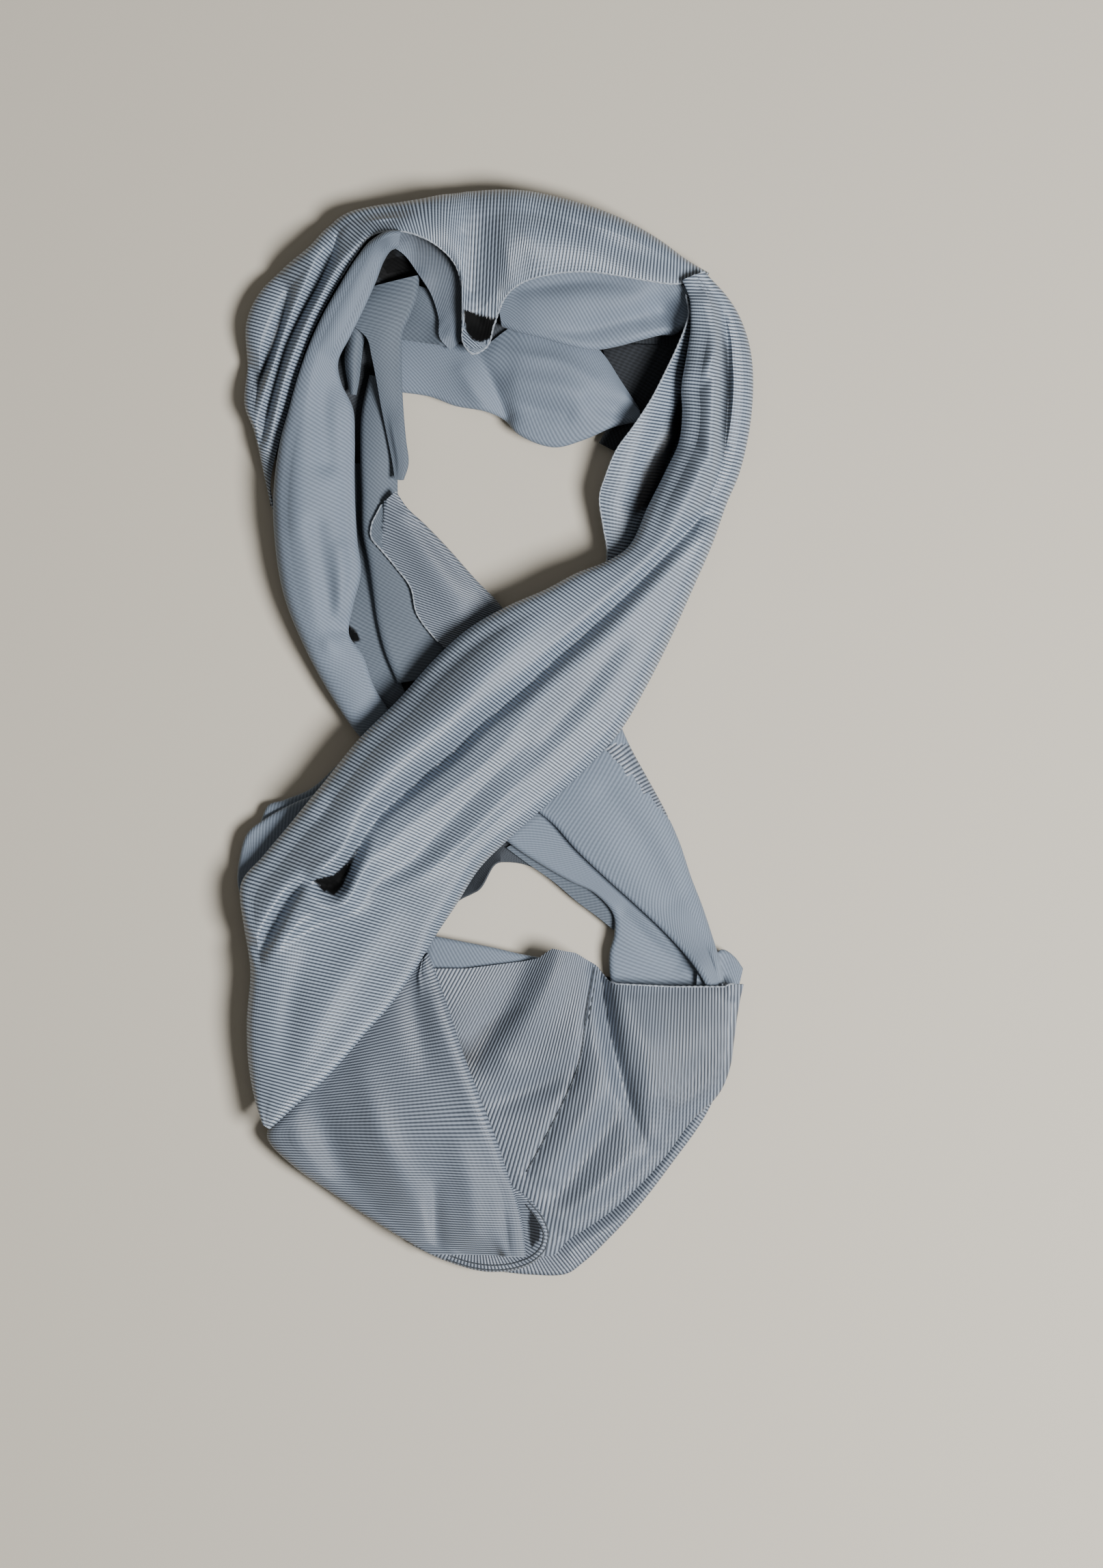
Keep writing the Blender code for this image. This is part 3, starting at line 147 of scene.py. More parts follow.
def cellsUnder(points):
    low = np.floor(points.min(axis=0)[:2] - table["low"]).astype(int)
    high = np.ceil(points.max(axis=0)[:2] - table["low"]).astype(int)
    for i in range(max(low[0], 0), min(high[0] + 1, table["size"][0])):
        for j in range(max(low[1], 0), min(high[1] + 1, table["size"][1])):
            yield i, j, i + table["low"][0], j + table["low"][1]


def treeOf(points, faces):
    return BVHTree.FromPolygons(points.tolist(), faces.tolist())


def hitFrom(start, tree, x, y):
    # place and face that an upright ray meets first, from above or from below
    place, _, face, _ = tree.ray_cast(Vector((x, y, start)), Vector((0, 0, -1 if start > 0 else 1)))
    return place, face


def softened(values, floor, passes):
    # evened out along the rows and columns, never under the floor
    for _ in range(passes):
        padded = np.pad(values, 1, mode="edge")
        mean = (padded[:-2, 1:-1] + padded[2:, 1:-1] + padded[1:-1, :-2] + padded[1:-1, 2:]) / 4
        values = np.maximum(0.5 * values + 0.5 * mean, floor)
    return values


def surfaceOf(stretch, along, across):
    # open cloth between its two edges, before it is lifted over what lies below
    rows = smoothRows(stretch["sections"], along)
    edgeA, edgeB = rows[:, :2], rows[:, 3:5]
    width = np.linalg.norm(edgeB - edgeA, axis=1)
    direction = (edgeB - edgeA) / width[:, None]
    insetA = np.minimum(stretch["turnA"][0], knit["inset"] * width)
    insetB = np.minimum(stretch["turnB"][0], knit["inset"] * width)
    share = np.linspace(0, 1, across + 1)[None, :]
    reach = insetA[:, None] + share * (width - insetA - insetB)[:, None]
    x = edgeA[:, :1] + reach * direction[:, :1]
    y = edgeA[:, 1:] + reach * direction[:, 1:]
    t = reach / width[:, None]
    if "start" in stretch:
        travel = distances(np.linalg.norm(np.diff((edgeA + edgeB) / 2, axis=0), axis=1))[:, None]
        shift = np.interp(t, *np.array(stretch["start"]).T) * np.exp(-travel / knit["startFade"])
        x, y = x + shift * stretch["forward"][0], y + shift * stretch["forward"][1]
    z = rows[:, 2:3] * (1 - t) + rows[:, 5:6] * t + rows[:, 6:7] * 4 * t * (1 - t)
    return dict(x=x, y=y, z=z + foldHeights(stretch["folds"], x, y), reach=reach, width=width,
                edges=((insetA, edgeA, -direction, stretch["turnA"], 0),
                       (insetB, edgeB, direction, stretch["turnB"], -1)))


def liftOf(stretch):
    # how far the cloth rises over the layers below, and how low each turned edge comes
    sheet = surfaceOf(stretch, stretch["along"], stretch["across"])
    x, y, z = sheet["x"], sheet["y"], sheet["z"]
    under = readMap(spread(clothTop, knit["gapReach"], np.maximum), x, y)
    needed = np.maximum(under + knit["plyGap"], knit["lowest"])
    near = spread(clothTop, knit["turnReach"], np.maximum)
    lows = []
    for inset, edge, outward, (turned, drop), first in sheet["edges"]:
        if turned == 0:   # a cut edge, which lies as it is
            lows.append(None)
            continue
        low = np.full(len(edge), knit["lowestTurn"])
        for back in (0.0, 0.33, 0.66, 1.0):
            place = edge - outward * ((inset + knit["flap"]) * back)[:, None]
            low = np.maximum(low, readMap(near, place[:, 0], place[:, 1]) + knit["turnGap"])
        low = softened(low[:, None], low[:, None], passes=2)[:, 0]
        low = np.maximum(low, z[:, first] - drop)
        band = (inset + knit["flap"])[:, None]
        beside = sheet["reach"] < band if first == 0 else sheet["reach"] > sheet["width"][:, None] - band
        needed = np.where(beside, np.maximum(needed, (low + knit["turnHeight"])[:, None]), needed)
        lows.append(low)
    lift = np.maximum(needed - z, 0.0)
    return softened(lift, lift, passes=3), lows


def crossOf(grid):
    return np.cross(np.gradient(grid, axis=0), np.gradient(grid, axis=1))


def normalsOf(grid):
    normal = crossOf(grid)
    normal /= np.linalg.norm(normal, axis=2)[:, :, None] + 1e-9
    return normal if normal[:, normal.shape[1] // 2, 2].sum() > 0 else -normal


def wallOf(grid):
    # closed thin wall whose outer face is the grid: points and four-cornered faces
    normal = normalsOf(grid)
    points = np.concatenate([grid.reshape(-1, 3), (grid - normal * knit["wall"]).reshape(-1, 3)])
    rows, columns = grid.shape[:2]
    count = rows * columns
    index = np.arange(count).reshape(rows, columns)
    a, b, c, d = index[:-1, :-1], index[:-1, 1:], index[1:, 1:], index[1:, :-1]
    top = np.stack([a, d, c, b], axis=2).reshape(-1, 4)
    ring = np.concatenate([index[0], index[1:, -1], index[-1, -2::-1], index[-2:0:-1, 0]])
    after = np.roll(ring, -1)
    rim = np.stack([ring, after, after + count, ring + count], axis=1)
    if (crossOf(grid) * normal).sum() <= 0:
        top, rim = top[:, ::-1], rim[:, ::-1]
    return points, np.concatenate([top, top[:, ::-1] + count, rim])


def settle(grid, turned):
    # raises the grid wherever its wall still comes too near to the cloth below
    rounds, extra, slight, beside = 4, 0.05, 0.02, 2
    nearby = spread(clothTop, 1.0, np.maximum)
    head = len(knit["turnAngles"]) + 2   # points across a turned edge, which rise together
    for _ in range(rounds):
        points, faces = wallOf(grid)
        tree = treeOf(points, faces)
        lack = np.zeros(grid.shape[:2])
        for i, j, x, y in cellsUnder(points):
            if nearby[i, j] < 0:
                continue
            hit, face = hitFrom(below, tree, x, y)
            if hit is None or hit.z > nearby[i, j] + knit["clearance"]:
                continue
            for corner in faces[face]:
                row, column = divmod(int(corner) % lack.size, grid.shape[1])
                lack[row, column] = max(lack[row, column], nearby[i, j] + knit["clearance"] + extra - hit.z)
        if lack.max() <= slight:
            break
        padded = np.pad(lack, beside, mode="edge")   # a rise is shared with the points beside, so no tooth stands up
        for i in range(2 * beside + 1):
            for j in range(2 * beside + 1):
                lack = np.maximum(lack, padded[i:i + lack.shape[0], j:j + lack.shape[1]])
        for has, part in zip(turned, (slice(None, head), slice(-head, None))):
            if has:
                lack[:, part] = lack[:, part].max(axis=1)[:, None]
        grid[:, :, 2] += softened(lack, lack, passes=6)
    return grid


def addToMaps(points, faces):
    tree = treeOf(points, faces)
    for i, j, x, y in cellsUnder(points):
        top = hitFrom(above, tree, x, y)[0]
        if top is not None:
            clothTop[i, j] = max(clothTop[i, j], top.z)
            clothBottom[i, j] = min(clothBottom[i, j], hitFrom(below, tree, x, y)[0].z)


def ribPlaces(lines, x, y):
    # distance across the ribs, from lines that follow them one after the other
    lines = np.array(lines, float)
    travel = distances(np.linalg.norm(np.diff((lines[:, :2] + lines[:, 2:]) / 2, axis=0), axis=1))
    sides = []
    for ax, ay, bx, by in lines:
        sides.append(((bx - ax) * (y - ay) - (by - ay) * (x - ax)) / math.hypot(bx - ax, by - ay))
    sides = np.array(sides)
    if sides[0].sum() < sides[-1].sum():
        sides = -sides
    place = np.zeros_like(x)
    for k in range(len(lines) - 1):
        inside = (sides[k] >= 0) & (sides[k + 1] < 0) if k < len(lines) - 2 else sides[k] >= 0
        share = sides[k] / (sides[k] - sides[k + 1] + 1e-9)
        place = np.where(inside, travel[k] + share * (travel[k + 1] - travel[k]), place)
    return np.where(sides[0] < 0, sides[0], place)


def newObject(name, points, faces, finish, uv):
    mesh = bpy.data.meshes.new(name)
    mesh.from_pydata(((points - (*table["centre"], 0.0)) * mm).tolist(), [], [list(face) for face in faces])
    corners = np.empty(len(mesh.loops), np.int32)
    mesh.loops.foreach_get("vertex_index", corners)
    layer = mesh.uv_layers.new(name="knitPlan")
    layer.data.foreach_set("uv", (uv[corners] * mm).astype(np.float32).ravel())
    made = bpy.data.objects.new(name, mesh)
    bpy.context.scene.collection.objects.link(made)
    mesh.materials.append(finish)
    bpy.ops.object.select_all(action="DESELECT")
    made.select_set(True)
    bpy.context.view_layer.objects.active = made
    bpy.ops.object.shade_smooth_by_angle(angle=math.radians(knit["smooth"]))
    made.select_set(False)
    return made


def placesOf(items, what):
    # places of a mesh's points or faces, in mm and in the photo's frame
    values = np.empty(len(items) * 3)
    items.foreach_get(what, values)
    return (values.reshape(-1, 3) / mm + (*table["centre"], 0.0)).T


def showOtherFace(made, finish, line):
    # the part of the cloth on the right of the line shows its other face
    made.data.materials.append(finish)
    for (ax, ay), (bx, by) in zip(line[:-1], line[1:]):
        x, y, _ = placesOf(made.data.vertices, "co")
        border = ax + (y - ay) / (by - ay) * (bx - ax)
        beside = (min(ay, by) <= y) & (y < max(ay, by)) & (abs(x - border) < 0.5 * knit["spacing"])
        for k in np.flatnonzero(beside):   # these move onto the line, so that it runs clean
            made.data.vertices[int(k)].co.x = (border[k] - table["centre"][0]) * mm
    x, y, _ = placesOf(made.data.polygons, "center")
    for (ax, ay), (bx, by) in zip(line[:-1], line[1:]):
        right = (min(ay, by) <= y) & (y < max(ay, by)) & (x > ax + (y - ay) / (by - ay) * (bx - ax))
        for k in np.flatnonzero(right):
            made.data.polygons[int(k)].material_index = 1


def evenly(line, step):
    # points at even distances along a line
    line = np.array(line, float)
    reach = distances(np.linalg.norm(np.diff(line, axis=0), axis=1))
    places = np.linspace(0, reach[-1], max(int(reach[-1] / step), 2) + 1)
    return np.column_stack([np.interp(places, reach, line[:, k]) for k in range(line.shape[1])]), places


def tubeOf(line, radii, sides):
    # closed tube along a line of points
    forward = np.gradient(line, axis=0)
    forward /= np.linalg.norm(forward, axis=1)[:, None] + 1e-9
    across = np.cross(forward, (0, 0, 1.0))
    across /= np.linalg.norm(across, axis=1)[:, None] + 1e-9
    up = np.cross(across, forward)
    rings = []
    for k in range(sides):
        turn = 2 * math.pi * k / sides
        rings.append(line + (across * math.cos(turn) + up * math.sin(turn)) * radii[:, None])
    points = np.stack(rings, axis=1)
    index = np.arange(points.shape[0] * sides).reshape(-1, sides)
    after = np.roll(index, -1, axis=1)
    faces = np.stack([index[:-1], after[:-1], after[1:], index[1:]], axis=2).reshape(-1, 4)
    return points.reshape(-1, 3), [list(f) for f in faces] + [list(index[0][::-1]), list(index[-1])]


def newTube(name, tubes, finish):
    sides, turnStep = 6, 0.5
    points, faces, uv, count = [], [], [], 0
    for line, radii, places in tubes:
        more, quads = tubeOf(line, radii, sides)
        points.append(more)
        faces += [[corner + count for corner in face] for face in quads]
        count += len(more)
        uv.append(np.column_stack([np.repeat(places, sides), np.tile(np.arange(sides) * turnStep, len(line))]))
    made = newObject(name, np.concatenate(points), faces, finish, np.concatenate(uv))
    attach(made, "root")
    return made


# Row of small loops along a cut edge, mm; depth is a share of the wall
edging = dict(radius=0.24, bead=0.16, pitch=1.9, step=0.42, depth=0.4)


def freeEdges(grid, stretch):
    # the cut edges that are overlocked, each as a line inside the wall
    middle = grid - normalsOf(grid) * knit["wall"] * edging["depth"]
    lines = dict(a=middle[:, 0], b=middle[:, -1], start=middle[0])
    for letter, low, high in stretch["overlocked"]:
        line = lines[letter]
        count = len(line) - 1
        yield letter.upper(), line[int(low * count):int(high * count) + 1]


def layEdge(name, line):
    # overlocked edge: a thin tube swollen at each loop of thread
    points, places = evenly(line, edging["step"])
    radii = edging["radius"] + edging["bead"] * np.abs(np.sin(math.pi * places / edging["pitch"]))
    return newTube(name, [(points, radii, places)], edgeThread)


def layThread(name, look, points, faces):
    # sewing thread on the cloth: whole, or as stitches that bow between their ends
    step, parts, bowHeight, sunk, thinnest = 0.5, 7, 0.12, 0.08, 0.45
    tree = treeOf(points, faces)
    plan, places = evenly(smoothRows([(*p, 0.0) for p in look["line"]], 6 * len(look["line"])), step)
    for k, (x, y, _) in enumerate(plan):
        hit = hitFrom(above, tree, x, y)[0]
        plan[k, 2] = hit.z if hit is not None else plan[k - 1, 2]
    plan[:, 2] += look["proud"]
    if "stitch" not in look:
        return newTube(name, [(plan, np.full(len(plan), look["radius"]), places)], seamThread)
    tubes, bow = [], np.sin(np.linspace(0, math.pi, parts))
    for start in np.arange(0.0, places[-1] - look["stitch"], look["stitch"] + look["gap"]):
        at = np.linspace(start, start + look["stitch"], parts)
        line = np.column_stack([np.interp(at, places, plan[:, k]) for k in range(3)])
        line[:, 2] += bowHeight * bow - sunk
        tubes.append((line, look["radius"] * (thinnest + (1 - thinnest) * bow), at))
    return newTube(name, tubes, seamThread)


# Open sky is looked for in so many directions, over the cloth at these distances, from a little above each point; the
# finishes paint shade where little is seen. A painted shade darkens an outline on top of that: a pocket so deep
# between the folds that little sky reaches it, or a flank turned from the light. It is the share it darkens, over how
# many mm it fades, and its outline. One that darkens more than deep also gets the nearly black, dull finish, except
# along its rim
sky = dict(directions=12, distances=(3.0, 5.0, 8.0, 12.0, 17.0), above=1.2, deep=0.8, rim=0.95)


def insideOf(outline, fade, x, y):
    # 1 inside the outline and 0 outside, changing evenly over the width of the fade
    inside = np.zeros(x.shape, bool)
    away = np.full(x.shape, 1e9)
    for (ax, ay), (bx, by) in zip(outline, outline[1:] + outline[:1]):
        crossing = (ay > y) != (by > y)
        inside ^= crossing & (x < ax + (y - ay) * (bx - ax) / (by - ay if by != ay else 1e-9))
        along = np.clip(((x - ax) * (bx - ax) + (y - ay) * (by - ay)) / ((bx - ax)**2 + (by - ay)**2), 0, 1)
        away = np.minimum(away, np.hypot(x - ax - along * (bx - ax), y - ay - along * (by - ay)))
    return np.clip(np.where(inside, away, -away) / fade + 0.5, 0, 1)


def paintShadeInside(made, outline, fade):
    # the bottom of a deep pocket gets the nearly black, dull finish: painted shade, and nothing glints there
    x, y, _ = placesOf(made.data.polygons, "center")
    made.data.materials.append(paintedShadeKnit)
    last = len(made.data.materials) - 1
    for k in np.flatnonzero(insideOf(outline, fade, x, y) > sky["rim"]):
        made.data.polygons[int(k)].material_index = last


def shadeFolds(pieces):
    # share of the sky that each point sees past the cloth round it, lowered inside the painted shades and kept as an
    # attribute with which the finishes paint shade
    around = np.maximum(clothTop, 0.0)
    for made, paintedShades in pieces:
        x, y, z = placesOf(made.data.vertices, "co")
        seen = np.zeros(len(x))
        for turn in np.radians(np.arange(0, 360, 360 / sky["directions"])):
            rise = np.zeros(len(x))
            for away in sky["distances"]:
                height = readMap(around, x + away * math.cos(turn), y + away * math.sin(turn)) - z - sky["above"]
                rise = np.maximum(rise, height / away)
            seen += 1 / (1 + rise**2)
        # painted shade: each outline darkens what lies inside it
        for darkening, fade, outline in paintedShades:
            seen *= 1 - darkening * insideOf(outline, fade, x, y)
            if darkening > sky["deep"]:
                paintShadeInside(made, outline, fade)
        share = made.data.attributes.new("openSky", "FLOAT", "POINT")
        share.data.foreach_set("value", (seen / sky["directions"]).astype(np.float32))


def turnedColumns(low, edge, x, y, z):
    # points round a turned edge and back under the cloth
    inset, _, outward, _, first = edge
    low = np.interp(np.linspace(0, 1, len(x)), np.linspace(0, 1, len(low)), low)
    base, top = np.stack([x[:, first], y[:, first]], axis=1), z[:, first]
    low = np.minimum(low, top - knit["leastTurn"])
    middle, half = (top + low) / 2, (top - low) / 2
    turned = []
    for angle in np.radians(knit["turnAngles"]):
        plan = base + outward * (inset * np.cos(angle))[:, None]
        turned.append(np.column_stack([plan, middle + half * np.sin(angle)]))
    for back in knit["flapParts"]:
        plan = base - outward * (np.minimum(knit["flap"], inset) * back)[:, None]
        turned.append(np.column_stack([plan, low + knit["flapRise"] * back]))
    return np.stack(turned, axis=1)


# What a stretch has where its own dictionary says nothing
usual = dict(turnA=(0, 0), turnB=(0, 0), folds=(), overlocked=(), threads=(), paintedShades=())


def layCloth(name, stretch):
    stretch = dict(usual, **stretch)
    lift, lows = liftOf(stretch)
    rows = np.array(stretch["sections"], float)
    middle = (rows[:, :2] + rows[:, 3:5]) / 2
    along = int(np.linalg.norm(np.diff(middle, axis=0), axis=1).sum() * knit["slack"] / knit["spacing"])
    across = int(np.linalg.norm(rows[:, 3:5] - rows[:, :2], axis=1).max() / knit["spacing"])
    sheet = surfaceOf(stretch, max(along, knit["fewest"][0]), max(across, knit["fewest"][1]))
    x, y = sheet["x"], sheet["y"]
    z = sheet["z"] + stretched(lift, x.shape)
    columns = [np.stack([x, y, z], axis=2)]
    if lows[0] is not None:
        columns.insert(0, turnedColumns(lows[0], sheet["edges"][0], x, y, z)[:, ::-1])
    if lows[1] is not None:
        columns.append(turnedColumns(lows[1], sheet["edges"][1], x, y, z))
    grid = settle(np.concatenate(columns, axis=1), [low is not None for low in lows])
    points, faces = wallOf(grid)
    addToMaps(points, faces)
    if "ribs" in stretch:
        alongPlace = ribPlaces(stretch["ribs"], grid[:, :, 0], grid[:, :, 1])
    else:
        steps = np.linalg.norm(np.diff(grid, axis=0), axis=2)
        alongPlace = distances(np.median(steps, axis=1))[:, None] + 0 * grid[:, :, 0]
    side = np.linalg.norm(np.diff(grid, axis=1), axis=2).mean(axis=0)
    acrossPlace = distances(side)[None, :] + 0 * grid[:, :, 0]
    uv = np.stack([alongPlace, acrossPlace], axis=2).reshape(-1, 2)
    made = newObject(name, points, faces, stretch["finish"], np.concatenate([uv, uv]))
    if "turnedFace" in stretch:
        showOtherFace(made, *stretch["turnedFace"])
    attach(made, "root")
    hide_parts(stretch["node"])
    laid.append((made, stretch["paintedShades"]))
    sewn = [layEdge(name + "Edge" + letter, line) for letter, line in freeEdges(grid, stretch)]
    for number, thread in enumerate(stretch["threads"]):
        sewn.append(layThread(name + "Thread" + str(number), thread, points, faces))
    wide, long, area = stretch["cut"]   # mm, mm and square cm
    print(f"{name}: {len(grid)} x {len(grid[0])} points, raised {lift.max():.1f} mm")


def linear(code):
    # an sRGB hex value as linear light
    parts = [int(code[k:k + 2], 16) / 255 for k in (1, 3, 5)]
    return (*[p / 12.92 if p <= 0.04045 else ((p + 0.055) / 1.055) ** 2.4 for p in parts], 1.0)


def addNode(material, kind, settings=None, inputs=None):
    # a node with its settings; an input is a value or a (node, output) to link
    node = material.node_tree.nodes.new("ShaderNode" + kind)
    for name, value in (settings or {}).items():
        setattr(node, name, value)
    for name, value in (inputs or {}).items():
        if isinstance(value, tuple) and len(value) == 2 and hasattr(value[0], "outputs"):
            material.node_tree.links.new(value[0].outputs[value[1]], node.inputs[name])
        else:
            node.inputs[name].default_value = value
    return node


def addRamp(material, source, dark, light, low=0.0, high=1.0):
    # two colours for a number, with even change from low to high
    ramp = addNode(material, "ValToRGB", None, {"Fac": source})
    for element, place, code in zip(ramp.color_ramp.elements, (low, high), (dark, light)):
        element.position, element.color = place, linear(code)
    return ramp, "Color"


def addProduct(material, first, second):
    return addNode(material, "Mix", {"data_type": "RGBA", "blend_type": "MULTIPLY"}, {0: 1.0, 6: first, 7: second}), 2


def addBands(material, across, source, values):
    wave = {"wave_type": "BANDS", "bands_direction": across, "wave_profile": "SIN"}
    return addNode(material, "TexWave", wave, dict(values, Vector=source)), "Color"


def newMaterial(name, **values):
    material = bpy.data.materials.new(name)
    material.use_nodes = True
    shader = material.node_tree.nodes["Principled BSDF"]
    for socket, value in values.items():
        shader.inputs[socket.replace("_", " ")].default_value = value
    return material, shader


def bands(pitch):
    # wave texture scale for bands that far apart, in metres
    return 2 * math.pi / (20 * pitch)


def colourAndRelief(material, shader, colour, height, strength, depth):
    relief = addNode(material, "Bump", None, {"Height": height, "Strength": strength, "Distance": depth})
    material.node_tree.links.new(colour[0].outputs[colour[1]], shader.inputs["Base Color"])
    material.node_tree.links.new(relief.outputs["Normal"], shader.inputs["Normal"])
    return material


def knitFace(name, look):
    # knit whose ribs or twill follow the cloth: bands on its own plan of distances along and across, darkened by
    # painted shade where little sky is seen
    material, shader = newMaterial(name, Roughness=look["roughness"], IOR=1.5, Specular_IOR_Level=look["specular"],
                                   Sheen_Weight=look["sheen"], Sheen_Roughness=0.45)
    plan = addNode(material, "UVMap", {"uv_map": "knitPlan"})
    turned = addNode(material, "Mapping", None,
                     {"Vector": (plan, "UV"), "Rotation": (0, 0, math.radians(look["turn"]))}), "Vector"
    ribs = addBands(material, "X", turned, {"Scale": bands(look["pitch"]), "Distortion": look["uneven"],
                                            "Detail": 1.0, "Detail Scale": 0.35})
    loops = addBands(material, "Y", turned, {"Scale": bands(look["loopPitch"]), "Distortion": 2.2,
                                             "Detail": 2.0, "Detail Scale": 1.6})
    both = addNode(material, "Mix", {"data_type": "FLOAT"}, {0: look["loopShare"], 2: ribs, 3: loops}), 0
    place = addNode(material, "TexCoord"), "Object"
    cloud = addNode(material, "TexNoise", None, {"Vector": place, "Scale": 26.0, "Detail": 2.0}), "Fac"
    sky = addNode(material, "Attribute", {"attribute_name": "openSky"}), "Fac"
    cloth = addProduct(material, addRamp(material, both, look["valley"], look["crest"], *look["ramp"]),
                       addRamp(material, cloud, "#f3f3f3", "#ffffff", low=0.35, high=0.65))
    # painted shade: the colour goes dark where the cloth round a point hides the sky, and inside the painted shade
    # outlines
    shade = addRamp(material, sky, "#26282c", "#ffffff", low=0.22, high=0.62)
    colour = addProduct(material, cloth, shade)
    return colourAndRelief(material, shader, colour, both, look["bump"], depth=0.0004)


def threadFace(name, look):
    # twisted yarn: slanted bands, painted paler on top of each turn as highlight
    material, shader = newMaterial(name, Roughness=look["roughness"], Sheen_Weight=look["sheen"])
    place = addNode(material, "TexCoord"), "Object"
    twist = addBands(material, "DIAGONAL", place, {"Scale": bands(look["twist"]), "Distortion": 1.2, "Detail": 2.0})
    colour = addRamp(material, twist, look["dark"], look["light"])
    return colourAndRelief(material, shader, colour, twist, look["bump"], depth=0.0002)


print("making the finishes")
# Polyester rib knit, its shiny face out: satin crests with the gaps between painted dark as shade. The real ribs
# are 0.95 mm apart; they are drawn 1.15 mm apart so that they show
ribbed = dict(pitch=0.00115, loopPitch=0.0011, loopShare=0.1, uneven=0.35, turn=0.0, ramp=(0.15, 0.85),
              valley="#39424f", crest="#a4b2c3", roughness=0.40, specular=0.65, sheen=0.06, bump=0.5)
ribbedKnit = knitFace("ribbedPolyesterKnit", ribbed)
# Painted shade: the ribbed face where it lies turned from the light, the same cloth painted a tone greyer
ribbedKnitInShade = knitFace("ribbedPolyesterKnitInShade", dict(ribbed, uneven=0.4, valley="#3e4550", crest="#8d97a5",
                                                   roughness=0.45, specular=0.5))
# The same knit's back: a dull fine twill. Its rows are 0.5 mm apart and are drawn at 1.1 mm
matte = dict(pitch=0.0011, loopPitch=0.0013, loopShare=0.15, uneven=0.5, turn=38.0, ramp=(0.2, 0.8),
             valley="#687381", crest="#7e8a9a", roughness=0.62, specular=0.3, sheen=0.12, bump=0.25)
matteKnit = knitFace("polyesterKnitBack", matte)
# The back of the knit where folds stand round it and keep it in shade
shadedKnit = knitFace("shadedPolyesterKnitBack", dict(matte, loopShare=0.2, valley="#525b66", crest="#656f7b",
                                                      roughness=0.66, specular=0.28, sheen=0.1))
# Plies inside the folds: the back of the knit, seen only through gaps and painted dark as shade
inner = dict(matte, pitch=0.0012, loopShare=0.35, turn=30.0, valley="#3a3e44", crest="#4a4f56",
             roughness=0.75, specular=0.2, sheen=0.1)
innerKnit = knitFace("foldedKnitPlies", inner)
# Painted shade: the knit at the bottom of a pocket, coloured nearly black
paintedShadeKnit = knitFace("knitPlyPaintedShade", dict(inner, valley="#26282b", crest="#32353a", roughness=0.8,
                                            specular=0.15, sheen=0.05))
# Lock-stitched free edge: close twisted thread, a little paler than the cloth's gaps
edgeThread = threadFace("lockstitchedEdgeThread", dict(
    twist=0.0011, dark="#848c96", light="#a4acb6", roughness=0.6, sheen=0.2, bump=0.4))
# Seam thread: the same yarn, painted darker than the cloth as shade where it lies sunk in the join
seamThread = threadFace("spunPolyesterThread", dict(
    twist=0.0009, dark="#2b3037", light="#414850", roughness=0.65, sheen=0.1, bump=0.4))


print("laying the cloth, lowest layer first")
# In each stretch, a row of sections is edge a (x, y, height), edge b (x, y, height) and the crown between them.
# turnA and turnB say how far each edge turns in and how far it drops, along and across count the coarse grid that
# is lifted over the layers below, and cut is the flat size of what shows (width, length, area in square cm)

# Painted shade in the pocket under the rolled hem, which two pieces share: how much it darkens, its fade and outline
hemPaintedShade = (0.74, 1.2, ((11.5,-160), (14.5,-163.5), (16.4,-168), (15.4,-172.5), (12.5,-175.5), (11.5,-172),
                        (11,-166)))

# Cloth deep in the pocket on the right of the larger loop, coloured nearly black as painted shade
pocketLayer = dict(
    node="pocket_layer", finish=paintedShadeKnit, slot="hidden_cloth", cut=(19, 41, 7),
    along=6, across=3,
    sections=(
        (36,133,4,63,132,5,0), (40,122,3.9,62,120,4.6,0), (44,111,3.8,57,106,4.2,0), (38,103.5,3.8,49,99,4,0),
        (35.5,99,3.6,44,94.5,3.8,0)))
layCloth("pocketLayerKnit", pocketLayer)

# Inner layer of the top, back of the knit up, with its edge rounded over the open middle
innerLayerTop = dict(
    node="inner_layer_top", finish=matteKnit, slot="matte_back", cut=(34, 91, 29),
    along=15, across=6, turnB=(2, 3.4),
    sections=(
        (-33,137,6,-33,116.3,5.4,1), (-22,136,7,-22,114.6,5.8,1.5), (-12,132.5,8,-13,111.3,6.2,2),
        (-4,131.5,9,-3,109.4,6.6,2.5), (4,137,9,3.5,106.5,7,3), (11,141,9,8,101.7,8,3.5), (20,138.5,9,20,97.2,8,4),
        (29,135,8.5,30,99.6,8,4), (37,129,7,40,104,7,3), (43,120,6,46,105.5,6.4,2), (49,111,5.6,50,106,6,0.5)),
    folds=(
        (9, ((8,119,2), (22,117,2.8), (37,111,1.5)), 1.8),
        (6, ((34,112,-2), (43,109.5,-3), (50,108,-2))),
        (4.5, ((-6,130,-1), (-1,120,-2.5), (4,108,-2.5)), 1.5),
        (5, ((-11,123,1), (-7,116,1.5), (-3,110,1)), 1.6),
        (5, ((2,131,0.6), (10,128,1.6), (22,126,1.8), (34,120,1)), 1.5),
        (5, ((6,113,-0.6), (14,110,-1.6), (24,108,-1.2)), 1.6)))
layCloth("innerLayerTopKnit", innerLayerTop)

# Small fold that drops inside the hood
hoodInnerFold = dict(
    node="hood_inner_fold", finish=shadedKnit, slot="matte_back", cut=(20, 21, 4),
    along=5, across=3, turnB=(1.6, 3),
    sections=(
        (-31,154,6.5,-22,151,6.5,0.5), (-32,146,7,-17.5,144,6.5,1), (-33,139,8,-16,136,7,1),
        (-33,134,8,-16.5,131.5,7,0.5)))
layCloth("hoodInnerFoldKnit", hoodInnerFold)

